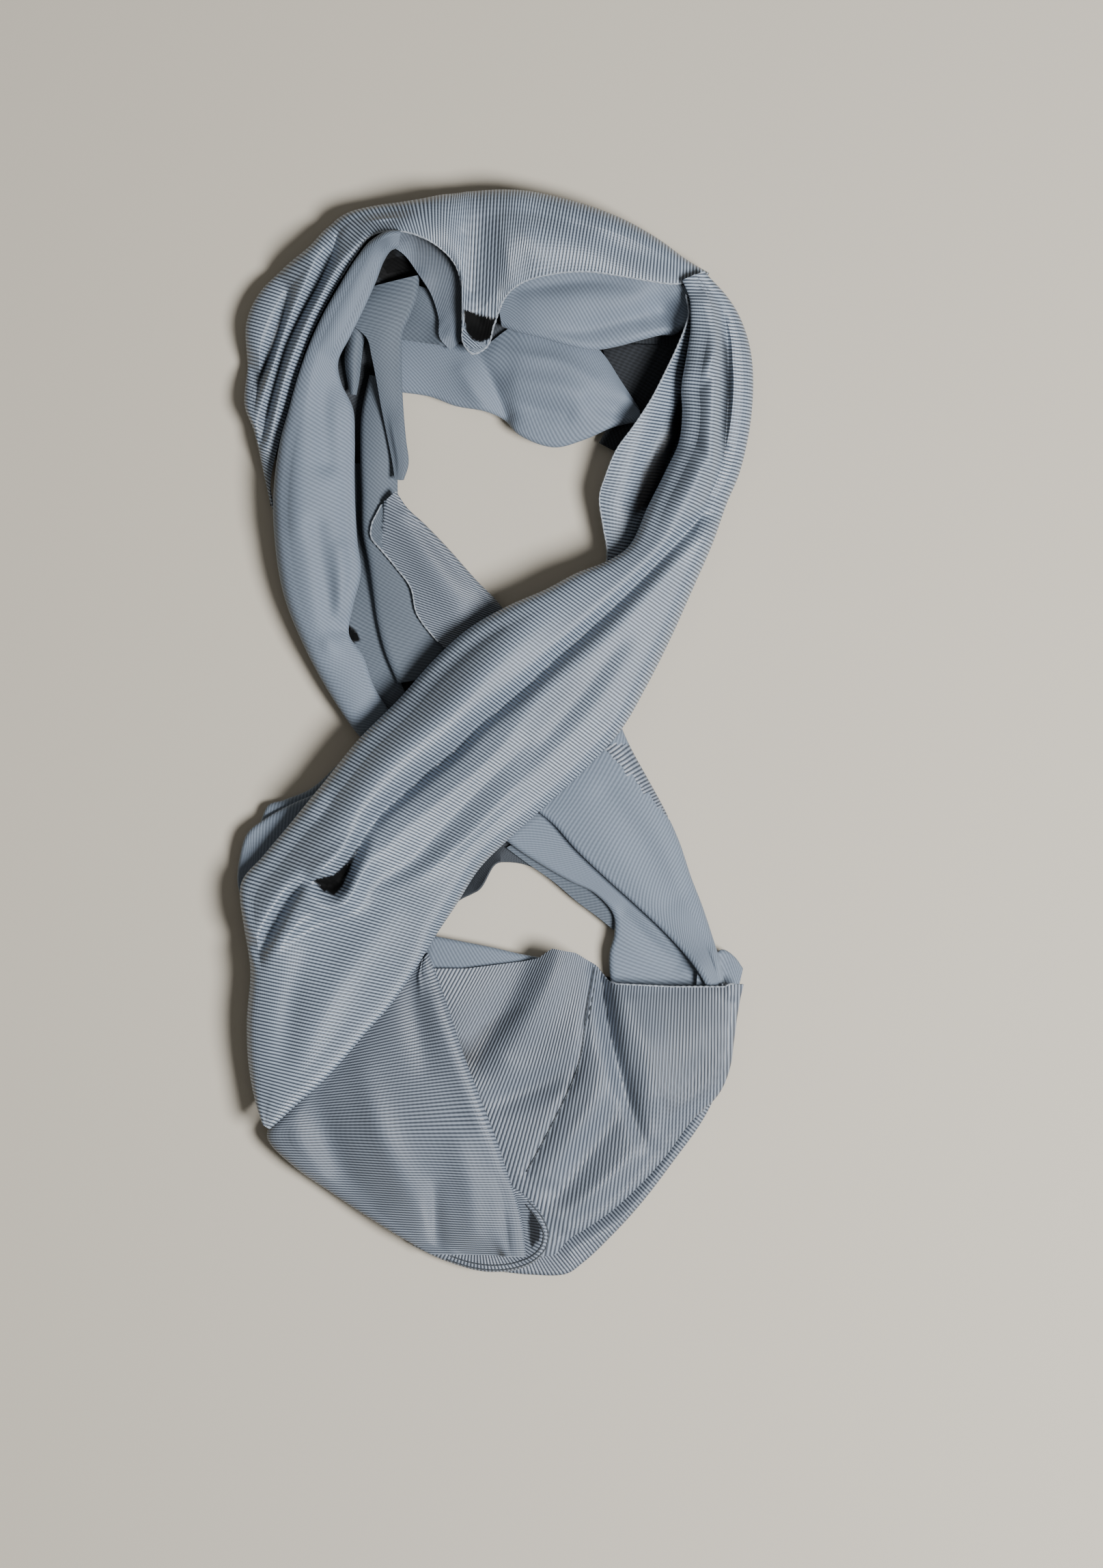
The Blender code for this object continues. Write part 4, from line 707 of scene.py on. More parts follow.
# Strip that shows in the slit beside the left panel
creaseStrip = dict(
    node="crease_strip", finish=shadedKnit, slot="matte_back", cut=(10, 89, 8.5),
    along=7, across=2,
    sections=(
        (-48,92,4.2,-43,92,4.2,0), (-48,76,4.6,-42,76,4.6,0), (-48,62,5,-41.5,62,5,0), (-49,52,5.4,-41,52,5.4,0),
        (-50.5,42,6,-39,42,6,0), (-52,34,5.6,-37.5,34,6,0), (-47,25,5.6,-35,25,5.6,0), (-43,16,5.2,-31,15,5.2,0),
        (-38,6,5,-27,5,5,0)),
    # painted shade: the black hole under the left panel's edge
    paintedShades=(
        (0.85, 1.2, ((-51,38), (-47,35), (-45.4,31.6), (-48,30.6), (-51,32.6))),))
layCloth("creaseStripKnit", creaseStrip)

# Second inner strip on the left
secondStrip = dict(
    node="second_strip", finish=shadedKnit, slot="matte_back", cut=(23, 106, 23),
    along=12, across=3, turnA=(2.2, 5),
    sections=(
        (-42.7,122,7,-38,121,7.5,0), (-45.2,110,8,-35,110,8,1), (-45.7,96,9,-32.5,97,7,1.5),
        (-45.4,82,9.5,-33,84,6,1.5), (-45,68,9.5,-32,69,6.5,1.5), (-43,58,9.5,-28,58,7,1), (-41.5,48,9,-23,48,7,1),
        (-40,38,8.5,-18,38,6.5,1), (-37.5,28,8,-12,30,6,0.5), (-33,17,7,-5,22,6,0)))
layCloth("secondStripKnit", secondStrip)

# Short loop that hangs at the top of the slit
loopFold = dict(
    node="loop_fold", finish=shadedKnit, slot="matte_back", cut=(10, 25, 2),
    along=6, across=4,
    sections=(
        (-51,141,9,-43,138,9.5,2.5), (-50.5,134,9,-44.3,133,9.5,2.5), (-51,127,8.5,-45.2,127,9,2.5),
        (-50.3,121,8,-46,120,8.5,2), (-49.2,115.3,7.5,-47,115,7.5,0.8)))
layCloth("loopFoldKnit", loopFold)

# Ribbed wedge that runs under the crossing
ribbedWedge = dict(
    node="ribbed_wedge", finish=shadedKnit, slot="ribbed_face", cut=(31, 62, 17),
    along=11, across=4, turnB=(3.5, 9),
    sections=(
        (-38.4,77.6,8.8,-33.4,82.2,6.6,0), (-40.2,74,9.6,-29.6,76.6,6.8,0.4), (-41.6,71,10,-24,71.5,7,1),
        (-41.8,66.5,10.5,-19,66.5,7.5,1), (-38.6,62.5,10.5,-14.8,62,7.5,1), (-33.4,56.3,10,-10,56.5,7.5,1),
        (-28.4,49.4,10,-5,51,7.5,1), (-26.5,41,9.5,0,46,7.5,1), (-21.5,33.8,9,5,40,7,0.5), (-15,27,8.5,11,33,6.5,0)),
    folds=(
        (8, ((-31,72,1), (-22,58,1), (-12,46,0.5))),
        (10, ((-33,76,0.5), (-27,66,1.3), (-20,55,1.8), (-13,44,1.8), (-8,34,1)), 1.9),
        (8, ((-26,76,-0.4), (-14,62,-1.2), (-2,50,-1.2)), 1.8)),
    overlocked=(("a", 0, 0.92),),
    turnedFace=(ribbedKnitInShade, ((-60,10), (-60,61), (-38.4,62), (-37.6,76), (-37.6,90))),
    ribs=(
        (-42,92,-24,82), (-44,82,-16,68), (-46,70,-8,54), (-40,56,0,41), (-36,44,8,29), (-30,34,14,20)))
layCloth("ribbedWedgeKnit", ribbedWedge)

# Inner strip from the hood down to the open middle
innerStrip = dict(
    node="inner_strip", finish=shadedKnit, slot="matte_back", cut=(17, 70, 11),
    along=13, across=4, turnB=(2.2, 6),
    sections=(
        (-44,151,11,-25.5,155.5,12,1), (-47,146,12,-26,149,12,1.5), (-49,140,12,-28.5,142,12,1.5),
        (-43.3,134,13,-31.2,135.5,11,1), (-41.7,128,13,-31.5,127,10,1), (-40,119.5,12.5,-31.3,118,10,1),
        (-38.5,111,11.5,-30.8,109,9,1), (-36.5,101,10,-30,100,8,1), (-34.7,92,8.5,-29.2,91,7,0.5),
        (-33.8,86,7.5,-30.8,86,7,0)))
layCloth("innerStripKnit", innerStrip)

# Lip of the hood, behind the free edge
hoodLip = dict(
    node="hood_lip", finish=matteKnit, slot="matte_back", cut=(14, 49, 6),
    along=10, across=3,
    sections=(
        (-36,172,16.5,-34.8,165,15,0), (-28,170.6,15.4,-30.5,162,14,0), (-18.6,165.6,13.4,-26,156,11.6,0),
        (-12.2,159,11.8,-21.5,149,9.8,0), (-9.9,151,10.6,-19,141,8.8,0), (-9.9,142,9.8,-18.5,134,8,0),
        (-10.2,134.4,9,-15,130,7.6,0)),
    # painted shade over the hollow of the hood
    paintedShades=(
        (0.5, 9, ((-29,178), (-2,178), (-2,124), (-14,124), (-24,134), (-27,149), (-31,158))),))
layCloth("hoodLipKnit", hoodLip)

# Turned edge of the top, back of the knit up
topTurnedEdge = dict(
    node="top_turned_edge", finish=matteKnit, slot="matte_back", cut=(30, 68, 19.5),
    along=12, across=5, turnB=(2.2, 4.5),
    sections=(
        (1,147,13,2.5,138,12,0), (6,153,14,8,136,12.5,0.5), (15,156,14.5,16,134,13,1),
        (25,158,14.5,25,131.5,13,1.5), (33,158.5,14.5,33,130,13,1.5), (42,157.5,14.5,42,131.3,13,1.5),
        (50,156,14.5,50,133.5,13,1), (57,155,14,57,135.3,12,0), (62.5,152.5,14,61,135.5,11.5,0),
        (67,149.5,14,66,139,11,0)),
    folds=(
        (6, ((10,135,-1), (28,136,-2), (48,141,-2.5)), 1.7),
        (8, ((52,142,-2.5), (56,143.5,-5), (61,142,-4))),
        (5, ((8,150,-0.8), (20,152,-1.6), (34,153,-1.4), (48,151,-0.6)), 1.6),
        (10, ((14,146,1), (30,147,1.5), (46,148.5,1)))))
layCloth("topTurnedEdgeKnit", topTurnedEdge)

# Inner wall on the right, ribbed face out, with a free edge
rightInnerWall = dict(
    node="right_inner_wall", finish=ribbedKnit, slot="ribbed_face", cut=(16, 100, 15),
    along=16, across=4,
    sections=(
        (65,148.5,16.5,68.5,148.5,13,0), (66,141.5,17,69.5,141.5,11,0), (64.7,137,17,69,137,10,0),
        (62.5,131.5,17,68,131,9,0.5), (58,122,17,66.5,121,8,0.5), (53,112.5,16.5,65,111,7,1),
        (47,103.5,15.5,64,102,6,1.5), (41.5,96,14,62.5,93,6,1.5), (37.7,87,12.5,58.5,84.5,6,1.5),
        (35.7,80,11.5,54,76,6,1.5), (37,70,10.5,50,68,7,1), (38.3,62,10,48,60,8,0.5), (38,55,9.5,48,53,8.5,0)),
    folds=(
        (6, ((58,106,-1.5), (52,92,-2), (47,78,-1.5))),),
    overlocked=(("a", 0, 1),),
    # painted shade: the dark band on the wall beside the front strand
    paintedShades=(
        (0.66, 2, ((58.4,102.4), (62.6,115), (66,108), (54.1,78), (46.7,73), (50,88.6))),))
layCloth("rightInnerWallKnit", rightInnerWall)

# Outer strand: the top of the larger loop and the pleats on its left
outerStrand = dict(
    node="outer_strand", finish=ribbedKnit, slot="ribbed_face", cut=(40, 243, 82.5),
    along=50, across=8, turnA=(8, 40),
    sections=(
        (73,156.5,12,66,153,15,0), (66,160.5,14,61,152,17,1), (57,167,16,52,153,18,1.5),
        (46,173.5,17,42,154.7,18,2), (34,178.5,17,31,156,18,2.5), (21,182.3,17,19,155,18,3),
        (10,184.3,17,9,152,17.5,3), (3,184.6,17,4,148,17,3), (-3,184.5,17,0,139,16,3),
        (-5.6,184.3,17,-3,130.5,15,3), (-8,184.1,17,-7.5,128.5,15,3), (-9.6,184,17,-10.5,132,15,3),
        (-11,183.7,17,-11,140,16,3), (-13.6,183.3,17,-11.1,150,17,3), (-18,182.8,17,-13,158,18,3),
        (-24.6,181.5,16.5,-19,164.5,19,2), (-32,180.4,15.2,-27,168.5,20,1), (-41,179.3,14,-35,169.7,19,0),
        (-50,177,13,-42,168,16,0.5), (-57,172,13,-48,160.5,13,1), (-63,165.5,12,-54,151,11,2),
        (-71,159,11,-59.5,141,10,2), (-80,150,10,-64,131,9.5,2), (-84.5,140,10,-67.5,120,9,2),
        (-84.3,125,10,-70.5,109,9,2), (-85,111,9,-73.5,98,8.5,1), (-82,103,8,-75.5,90,8,1), (-79,90,7,-76.3,82,7,0),
        (-76.8,80,6,-75.5,76,6,0)),
    folds=(
        (3.2, ((-69,157,-1.5), (-71,147,-3.5), (-74.5,134,-4), (-79.5,122,-4), (-84,113,-2)), 1.2),
        (4.5, ((-57,171,1.5), (-64,153,2.5), (-71,137,2.5), (-76,122,2.5), (-81,106,1.5)), 1.6),
        (3, ((-52,174,-2.5), (-55.5,163,-4), (-60,153,-5), (-66,142,-5), (-70.5,132.5,-5), (-73.5,123,-5),
             (-77.5,108,-4), (-79.2,100,-2)), 1.2),
        (4.6, ((-44,168,1.5), (-52,159,3), (-60,146,4), (-66,134,4), (-70,124,4), (-74,110,3.5), (-77,98,2)), 1.7),
        (2.6, ((-72.5,143,-0.8), (-76,133,-2), (-80,120,-2.2), (-83,111,-1)), 1.2),
        (8, ((-7,143,-1), (-5.4,139,-2.6), (-3.4,137.4,-2.8), (-1.4,140,-1.6)), 2),
        (13, ((-6,180,-1), (-6.5,166,-2.5), (-6,150,-4), (-5.5,142,-3))),
        (5, ((-10,168,-0.5), (-9,158,-1), (-8.6,150,-1.2))),
        (6, ((3,172,0.8), (5,160,1.4), (6,152,1))),
        (9, ((6,180,1), (12,166,2), (14,157,0.8))),
        (7, ((4,177.5,-1), (16,176,-2), (28,172,-1.5)), 1.6),
        (6, ((0,183,0.8), (20,181.5,1.2), (40,174,1)), 1.6),
        (10, ((34,170,-1), (44,164,-1.8), (56,160,-1.6), (64,157,-1)), 1.8),
        (5, ((-50,175,-1), (-42,176.5,-2), (-34,177.5,-1.6), (-26,178,-0.6)), 1.5),
        (6, ((-46,180,0.5), (-36,170,1), (-28,174,0.6)))),
    overlocked=(("b", 0, 0.64),),
    # painted shade in the pit of the wave and along two pleats
    paintedShades=(
        (0.96, 1.2, ((-10.8,143.8), (-5,142.2), (1.2,140.6), (1.8,137), (-1.5,133.6), (-4.6,132.2), (-7.7,133),
                     (-9.9,136.5))),
        (0.6, 3, ((-69.5,149), (-73.2,134), (-78,122), (-83,112), (-85,112), (-81,123), (-76,135), (-72.2,148))),
        (0.6, 3, ((-54.6,163), (-65,142), (-69.4,132.5), (-72.3,123), (-76.4,107), (-78.6,107), (-74.8,124),
                  (-71.8,133), (-67.2,143), (-57,163)))),
    ribs=(
        (74,160,74,148), (60,166,59,150), (46,175,42,150), (31,181,26,150), (17,184,11,150), (3,186,0,128),
        (-7,186,-10,128), (-14,186,-17,145), (-21,185,-20,155), (-29,184,-23,160), (-37,183,-28,163),
        (-45,181,-34,165), (-53,177,-40,165), (-59,171,-46,160), (-66,164,-52,155), (-74,156,-56,149),
        (-82,148,-59,141), (-86,138,-63,131), (-87,126,-67,119), (-87,112,-70,105), (-84,98,-73,93),
        (-79,86,-74,82), (-78,78,-74,75)))
layCloth("outerStrandKnit", outerStrand)

# Left panel, back of the knit up
leftPanel = dict(
    node="left_panel", finish=matteKnit, slot="matte_back", cut=(38, 192, 69),
    along=22, across=6, turnA=(5, 30), turnB=(3, 9),
    sections=(
        (-31.5,169.6,18.6,-32.5,163.6,17,0.5), (-36,169.5,19.5,-34.8,163,18,1), (-41,167,19,-37,160.5,17,1.5),
        (-46.5,161,17,-40,153,15,2.5), (-52.5,151.5,15.5,-44,144,14.5,3), (-58.5,141,14.5,-49,134,14,3),
        (-63.3,130.5,13.5,-53,126,12.5,3), (-67,120,13,-52,119,10,4), (-70,109,12.5,-48,110,9,5),
        (-72.5,100,12,-47.5,100,9,6), (-74.5,88,12,-47.5,88,10,6), (-75.3,76,12,-47.2,76,10,6),
        (-74.8,66,12,-46.5,65,10,6), (-73.5,55,12,-45.3,55,10,5), (-70.5,43,11,-48,43,10,4),
        (-66,32,11,-49.5,34,9,3), (-60,20,10,-44.5,26,8.5,2), (-54,10,9,-41,16,8,2), (-47,0,8,-36,8,7.5,1),
        (-39,-8,7,-30,-1,7,0)),
    folds=(
        (7, ((-57,126,-1.5), (-58,110,-2.5), (-57,92,-2))),
        (9, ((-66,124,1), (-68,100,1.5), (-67,70,1.5))),
        (6, ((-60,70,-1.5), (-57,50,-2), (-54,36,-2.5))),
        (5, ((-52,62,1), (-52,48,1.5), (-56,30,1)))))
layCloth("leftPanelKnit", leftPanel)

# Under layer of the lower crossing
innerUnderLayer = dict(
    node="inner_under_layer", finish=shadedKnit, slot="ribbed_face", cut=(12, 47, 5),
    along=7, across=2,
    sections=(
        (4,-39,3.8,12,-34,3.8,0), (10,-43.5,3.8,18,-38,3.8,0), (20,-50.5,3.8,28,-44,3.8,0),
        (28,-57.3,3.8,36,-50,3.8,0), (35,-62.5,3.8,44,-55,3.8,0), (40.5,-67,3.8,50,-62,3.8,0)))
layCloth("innerUnderLayerKnit", innerUnderLayer)

# Inner strip of the smaller loop
lowerInnerStrip = dict(
    node="lower_inner_strip", finish=matteKnit, slot="matte_back", cut=(24, 80, 17),
    along=11, across=3, turnA=(1.8, 3.2),
    sections=(
        (3,-36,6.6,16,-24,6.6,0), (10,-41,6.8,24,-34,7,0), (18,-46,6.8,32,-41.5,7,0), (26,-50.5,6.8,40,-49,7,0),
        (34,-54.5,7,47,-55.5,7,0), (40,-61,7,52,-60,7,0), (40.7,-68,7,59,-66,6.8,0.5), (39,-75,6.6,67,-73,6.4,0.5),
        (39.2,-83,6.2,72,-81,6,0), (40.5,-90,5.8,74,-90,5.6,0)),
    folds=(
        (5, ((44,-62,-1), (52,-70,-1.5), (62,-78,-1))),))
layCloth("lowerInnerStripKnit", lowerInnerStrip)

# Back of the open cuff on the right
cuffBack = dict(
    node="cuff_back", finish=matteKnit, slot="matte_back", cut=(22, 18, 3.5),
    along=5, across=2, turnA=(1.5, 3),
    sections=(
        (69,-81,6,68,-94,6,0), (73,-77,6.2,72.5,-94,6,0), (77.5,-73.5,6.2,76.5,-94,6,0), (82,-76.3,6.2,80,-93,6,0),
        (84.6,-80,6,82,-91,6,0)))
layCloth("cuffBackKnit", cuffBack)

# Stretch that comes out below the crossing on the right
underStretchRight = dict(
    node="under_stretch_right", finish=matteKnit, slot="matte_back", cut=(43, 98, 40),
    along=12, across=4, turnA=(6, 20), turnB=(2, 3.2),
    sections=(
        (40,10,8.5,8,-20,8.5,0), (46,-4,9,14,-26,9,1), (52,-15,9.5,20,-31,10,1.5), (58,-26,9.5,28,-40,10.5,2),
        (63,-37,9.5,38,-49.5,10.5,2), (67,-49,9.5,48,-58.5,10.5,2), (70.5,-58,9.5,57,-67,10.5,1.5),
        (73.5,-67,9.5,64,-74.5,10,1), (76.5,-77,9,69,-81,9.5,0.5), (78.5,-86,8.5,73,-88,8.5,0)),
    folds=(
        (9, ((38,-22,-1), (50,-38,-1.5), (60,-56,-1))),),
    turnedFace=(ribbedKnitInShade, ((36,-4), (42,-10), (50,-18.5), (60,-30))))
layCloth("underStretchRightKnit", underStretchRight)

# Lowest layer on the left of the crossing
underLayerLeftA = dict(
    node="under_layer_left_a", finish=matteKnit, slot="matte_back", cut=(20, 39, 7.5),
    along=5, across=2, turnA=(1.5, 3),
    sections=(
        (-52,-9,5.6,-44,-18,5.6,0), (-63,-19,5.6,-55,-30,5.6,0), (-72,-22.7,5.4,-64,-38,5.4,0),
        (-77.5,-24.8,5.4,-72,-42,5.4,0), (-79.8,-30,5.2,-77,-44,5.2,0)))
layCloth("underLayerLeftAKnit", underLayerLeftA)

# Layer above it
underLayerLeftB = dict(
    node="under_layer_left_b", finish=matteKnit, slot="matte_back", cut=(23, 49, 9.5),
    along=7, across=2, turnA=(1.8, 3.2),
    sections=(
        (-62,-21,8.6,-54,-32,8.6,0), (-70,-24.5,8.6,-61,-40,8.6,0), (-78,-29,8.4,-68,-48,8.6,0),
        (-84.5,-34.5,8,-76,-54,8.4,0), (-86.8,-42,7.4,-79,-60,8,0), (-87.6,-50.5,6.8,-82,-64,7.4,0),
        (-86,-58,6.4,-82.5,-68,6.8,0)))
layCloth("underLayerLeftBKnit", underLayerLeftB)

# Layer that shows along the lower right edge
bottomUnderLayer = dict(
    node="bottom_under_layer", finish=ribbedKnitInShade, slot="ribbed_face", cut=(22, 108, 22.5),
    along=11, across=2, turnA=(2, 6),
    sections=(
        (79.2,-114,5.6,70,-110,5.6,0), (72.5,-129,5.6,62,-121,5.6,0), (60,-147,5.6,50,-138,5.6,0),
        (50,-160,5.6,38,-148,5.6,0), (40,-171,5.6,28,-158,5.6,0), (30,-180.5,5.4,19,-166,5.4,0),
        (24.5,-184.2,5.4,14,-171,5.4,0), (12,-184.5,5.2,8,-172,5.2,0), (0,-183.2,5.2,0,-173,5.2,0)),
    folds=(
        (6, ((78,-124,0.6), (69.5,-134,1.6), (60.5,-146.5,2.4), (51,-157,2.6), (41,-166.2,2.6), (32.5,-171.6,2.2),
             (26.5,-175.5,1.4)), 1.9),))
layCloth("bottomUnderLayerKnit", bottomUnderLayer)

# Turned strip between the crossing and the lower stretch
turnedStrip = dict(
    node="turned_strip", finish=matteKnit, slot="matte_back", cut=(14, 45, 6),
    along=6, across=2, turnA=(1.5, 3),
    sections=(
        (-28,-67,6,-28,-83,6.5,0), (-20,-69,6.2,-20,-82,6.6,0), (-10,-71,6.4,-10,-82,7,0), (0,-73,6.6,0,-81,7,0),
        (10,-75.3,6.6,10,-79.5,7,0), (16,-76.3,6.4,16,-79,6.6,0)))
layCloth("turnedStripKnit", turnedStrip)

# Lower right stretch with the cuff, the folds and the sewn join
bottomRightStretch = dict(
    node="bottom_right_stretch", finish=ribbedKnitInShade, slot="ribbed_face", cut=(83, 106, 84.5),
    along=16, across=15, turnB=(5, 9),
    start=((0,0), (0.14,0.5), (0.32,3.6), (0.365,4.8), (0.41,8.4), (0.484,7.2), (0.548,2.9), (0.575,-2),
           (0.603,-2.9), (0.776,-3.3), (0.94,-2.7), (1,1.5)),
    forward=(-0.05, 0.999),
    sections=(
        (-25,-80,9,84.5,-83.5,11,2), (-23,-88,9.5,83,-92.5,11.5,3), (-20,-97,9.5,81.5,-104,11.5,4),
        (-17,-107,9.5,80,-114,11,4), (-13,-118,9.5,76,-123,11,4), (-9,-128,9,67,-131.8,11,3.5),
        (-4,-139,8.8,58,-144,10.5,3), (0,-149,8.5,49,-154,10,2.5), (4,-158,8,39,-163,9.5,2),
        (7,-166,7.8,31,-168.5,9,1.5), (9,-173,7.5,25.5,-172,8.5,1), (11,-179,7,21,-177,7.5,0.5)),
    folds=(
        (12, ((12,-78,-1.5), (6,-90,-2.6), (-1,-101,-3), (-7,-111,-2))),
        (34, ((2,-84,-2), (8,-104,-3.2), (12,-124,-2.4))),
        (26, ((33,-86,1), (30,-106,1.6), (22,-128,1.4))),
        (28, ((80,-92,1.6), (75,-108,2.4), (67,-122,1.8))),
        (11, ((24,-72,3), (18,-84,3.6), (11,-96,3.2), (3,-108,2))),
        (8, ((29,-110,-0.8), (23,-116,-2.2), (15,-120,-2.6), (6,-123.5,-2.2), (-4,-127,-1))),
        (4.4, ((35.6,-78,-6), (37,-88,-7.5), (38.6,-98,-7), (40.4,-107,-6), (43.2,-117.5,-4.5), (46.5,-128,-3),
             (51,-140,-1)), 1.8),
        (9, ((38,-112,1.2), (34.5,-126,2.2), (27,-138,2.2), (20,-150,1.2))),
        (9, ((44,-119,-1.2), (39,-131,-2.8), (31,-142,-3), (22,-155,-2))),
        (8, ((52,-138,1), (43,-148,2), (33,-157,2), (24,-164,1))),
        (8, ((76,-123,-1), (67,-131.8,-2.6), (58,-144,-3.6), (49,-154,-3.8), (39,-163,-3.6), (31,-168.5,-3),
             (25.5,-172,-2)), 1.8),
        (10, ((47,-92,1.5), (52,-108,2.5), (54,-122,1.5))),
        (7, ((73,-106,-0.6), (68,-116,-1.2), (59,-125,-0.6))),
        (2.8, ((33.7,-79,-0.8), (31.3,-93.2,-0.9), (29.5,-108.7,-0.9), (24.3,-123.1,-0.9), (15.4,-140.8,-0.8),
             (10.8,-149,-0.6)))),
    overlocked=(("start", 0.57, 0.93),),
    threads=(
        dict(line=((33.7,-79.6), (32.6,-85.5), (31.3,-93.2), (30.4,-101), (29.5,-108.7), (27.6,-115.4),
                   (24.3,-123.1), (19.9,-132), (15.4,-140.8), (10.8,-149)),
             radius=0.34, proud=0),
        dict(line=((34.9,-80.5), (33.9,-86), (32.6,-93.2), (31.8,-100)),
             radius=0.28, proud=0.1, stitch=2, gap=1)),
    # painted shade: the hem pocket, the cuff turned from the light and a fold valley
    paintedShades=(
        hemPaintedShade,
        (0.45, 12, ((40,-84), (84,-80), (84,-116), (74,-128), (56,-136), (46,-112))),
        (0.5, 8, ((10,-88), (14,-94), (-4,-116), (-14,-112), (-6,-98)))),
    ribs=(
        (-2,-72,-50,-160), (12,-70,-34,-160), (20,-70,-18,-165), (26,-70,-4,-172), (31,-70,6,-180),
        (35,-70,15,-182), (40,-70,24,-184), (48,-70,36,-184), (57,-70,50,-184), (66,-70,62,-184), (76,-70,76,-184),
        (90,-70,90,-184)))
layCloth("bottomRightStretchKnit", bottomRightStretch)

# Rolled hem at the bottom
hemRoll = dict(
    node="hem_roll", finish=ribbedKnitInShade, slot="ribbed_face", cut=(14, 67, 8),
    along=11, across=2, turnA=(1.6, 3.4),
    sections=(
        (-28,-174.6,6,-24,-171,6,0), (-16,-180,6.4,-14,-175,6.4,0), (0,-183.3,8.8,-2,-176,8.8,0),
        (9.5,-181.8,9.6,3,-174.5,9.6,0), (15.5,-178,10.6,5,-171.5,10.4,0), (18.6,-171,11.4,6,-168,11,0),
        (16.8,-164.5,12,5,-164,11.4,0), (13,-159,11.8,3,-159.5,11.2,0), (6.5,-154,11.4,1,-155.5,11,0)),
    threads=(
        dict(line=((11.4,-158.6), (16,-164), (18.2,-169.5), (17.4,-174.5), (14,-178.4), (9,-181), (0,-182.4),
                   (-8,-181.6), (-16,-179.2)),
             radius=0.26, proud=0.08),
        dict(line=((10.6,-159.8), (14.6,-165), (16.7,-169.8), (15.9,-174), (13,-177.2), (8.4,-179.4), (0,-180.8),
                   (-8,-180), (-15,-177.9)),
             radius=0.26, proud=0.08)),
    # painted shade in the pocket under the hem
    paintedShades=(hemPaintedShade,))
layCloth("hemRollKnit", hemRoll)

# Lower left panel, turned over its right edge
bottomLeftPanel = dict(
    node="bottom_left_panel", finish=ribbedKnitInShade, slot="ribbed_face", cut=(73, 121, 74),
    along=14, across=9, turnA=(7, 20), turnB=(4.5, 5),
    sections=(
        (-28,-80,10,-22.5,-74.5,11,0), (-40,-92,10,-18.5,-85,13,1), (-52,-107,10,-14,-98,15,2),
        (-63,-119,10,-9.5,-111,16,2.5), (-74,-130,9,-4.5,-124,16.5,3), (-77.5,-137.5,8.5,0.5,-137,16.5,3),
        (-68.5,-147.3,9,4.5,-149,16,3), (-55.5,-156.5,9.5,7.5,-158,15.5,3), (-42.5,-165,9.5,9.5,-166.5,15,2),
        (-30,-172.5,9,10.3,-173,13.5,1), (-22,-177,8.5,10.8,-177.5,11,0)),
    folds=(
        (11, ((-62,-122,-1), (-58,-134,-3), (-52,-148,-3.5), (-42,-158,-2)), 1.8),
        (9, ((-72,-126,1), (-67,-138,2), (-60,-148,1.5)), 1.8),
        (8, ((-28,-84,-1.2), (-26,-98,-2.2), (-23,-112,-1.2)), 1.8),
        (9, ((-44,-116,1.2), (-38,-136,2.5), (-30,-152,2), (-24,-164,1)), 1.8),
        (5, ((-20,-154,-1.2), (-20,-164,-2.2), (-19,-174,-1.6)), 1.6),
        (8, ((-12,-140,1), (-8,-156,1.8), (-7,-168,1.2)), 1.8),
        (5, ((2.5,-152,-1.5), (4,-162,-2.8), (5,-174,-2)), 1.5),
        (8, ((-20,-92,1), (-12,-112,1.5), (-4,-132,1.5)), 1.8)))
layCloth("bottomLeftPanelKnit", bottomLeftPanel)

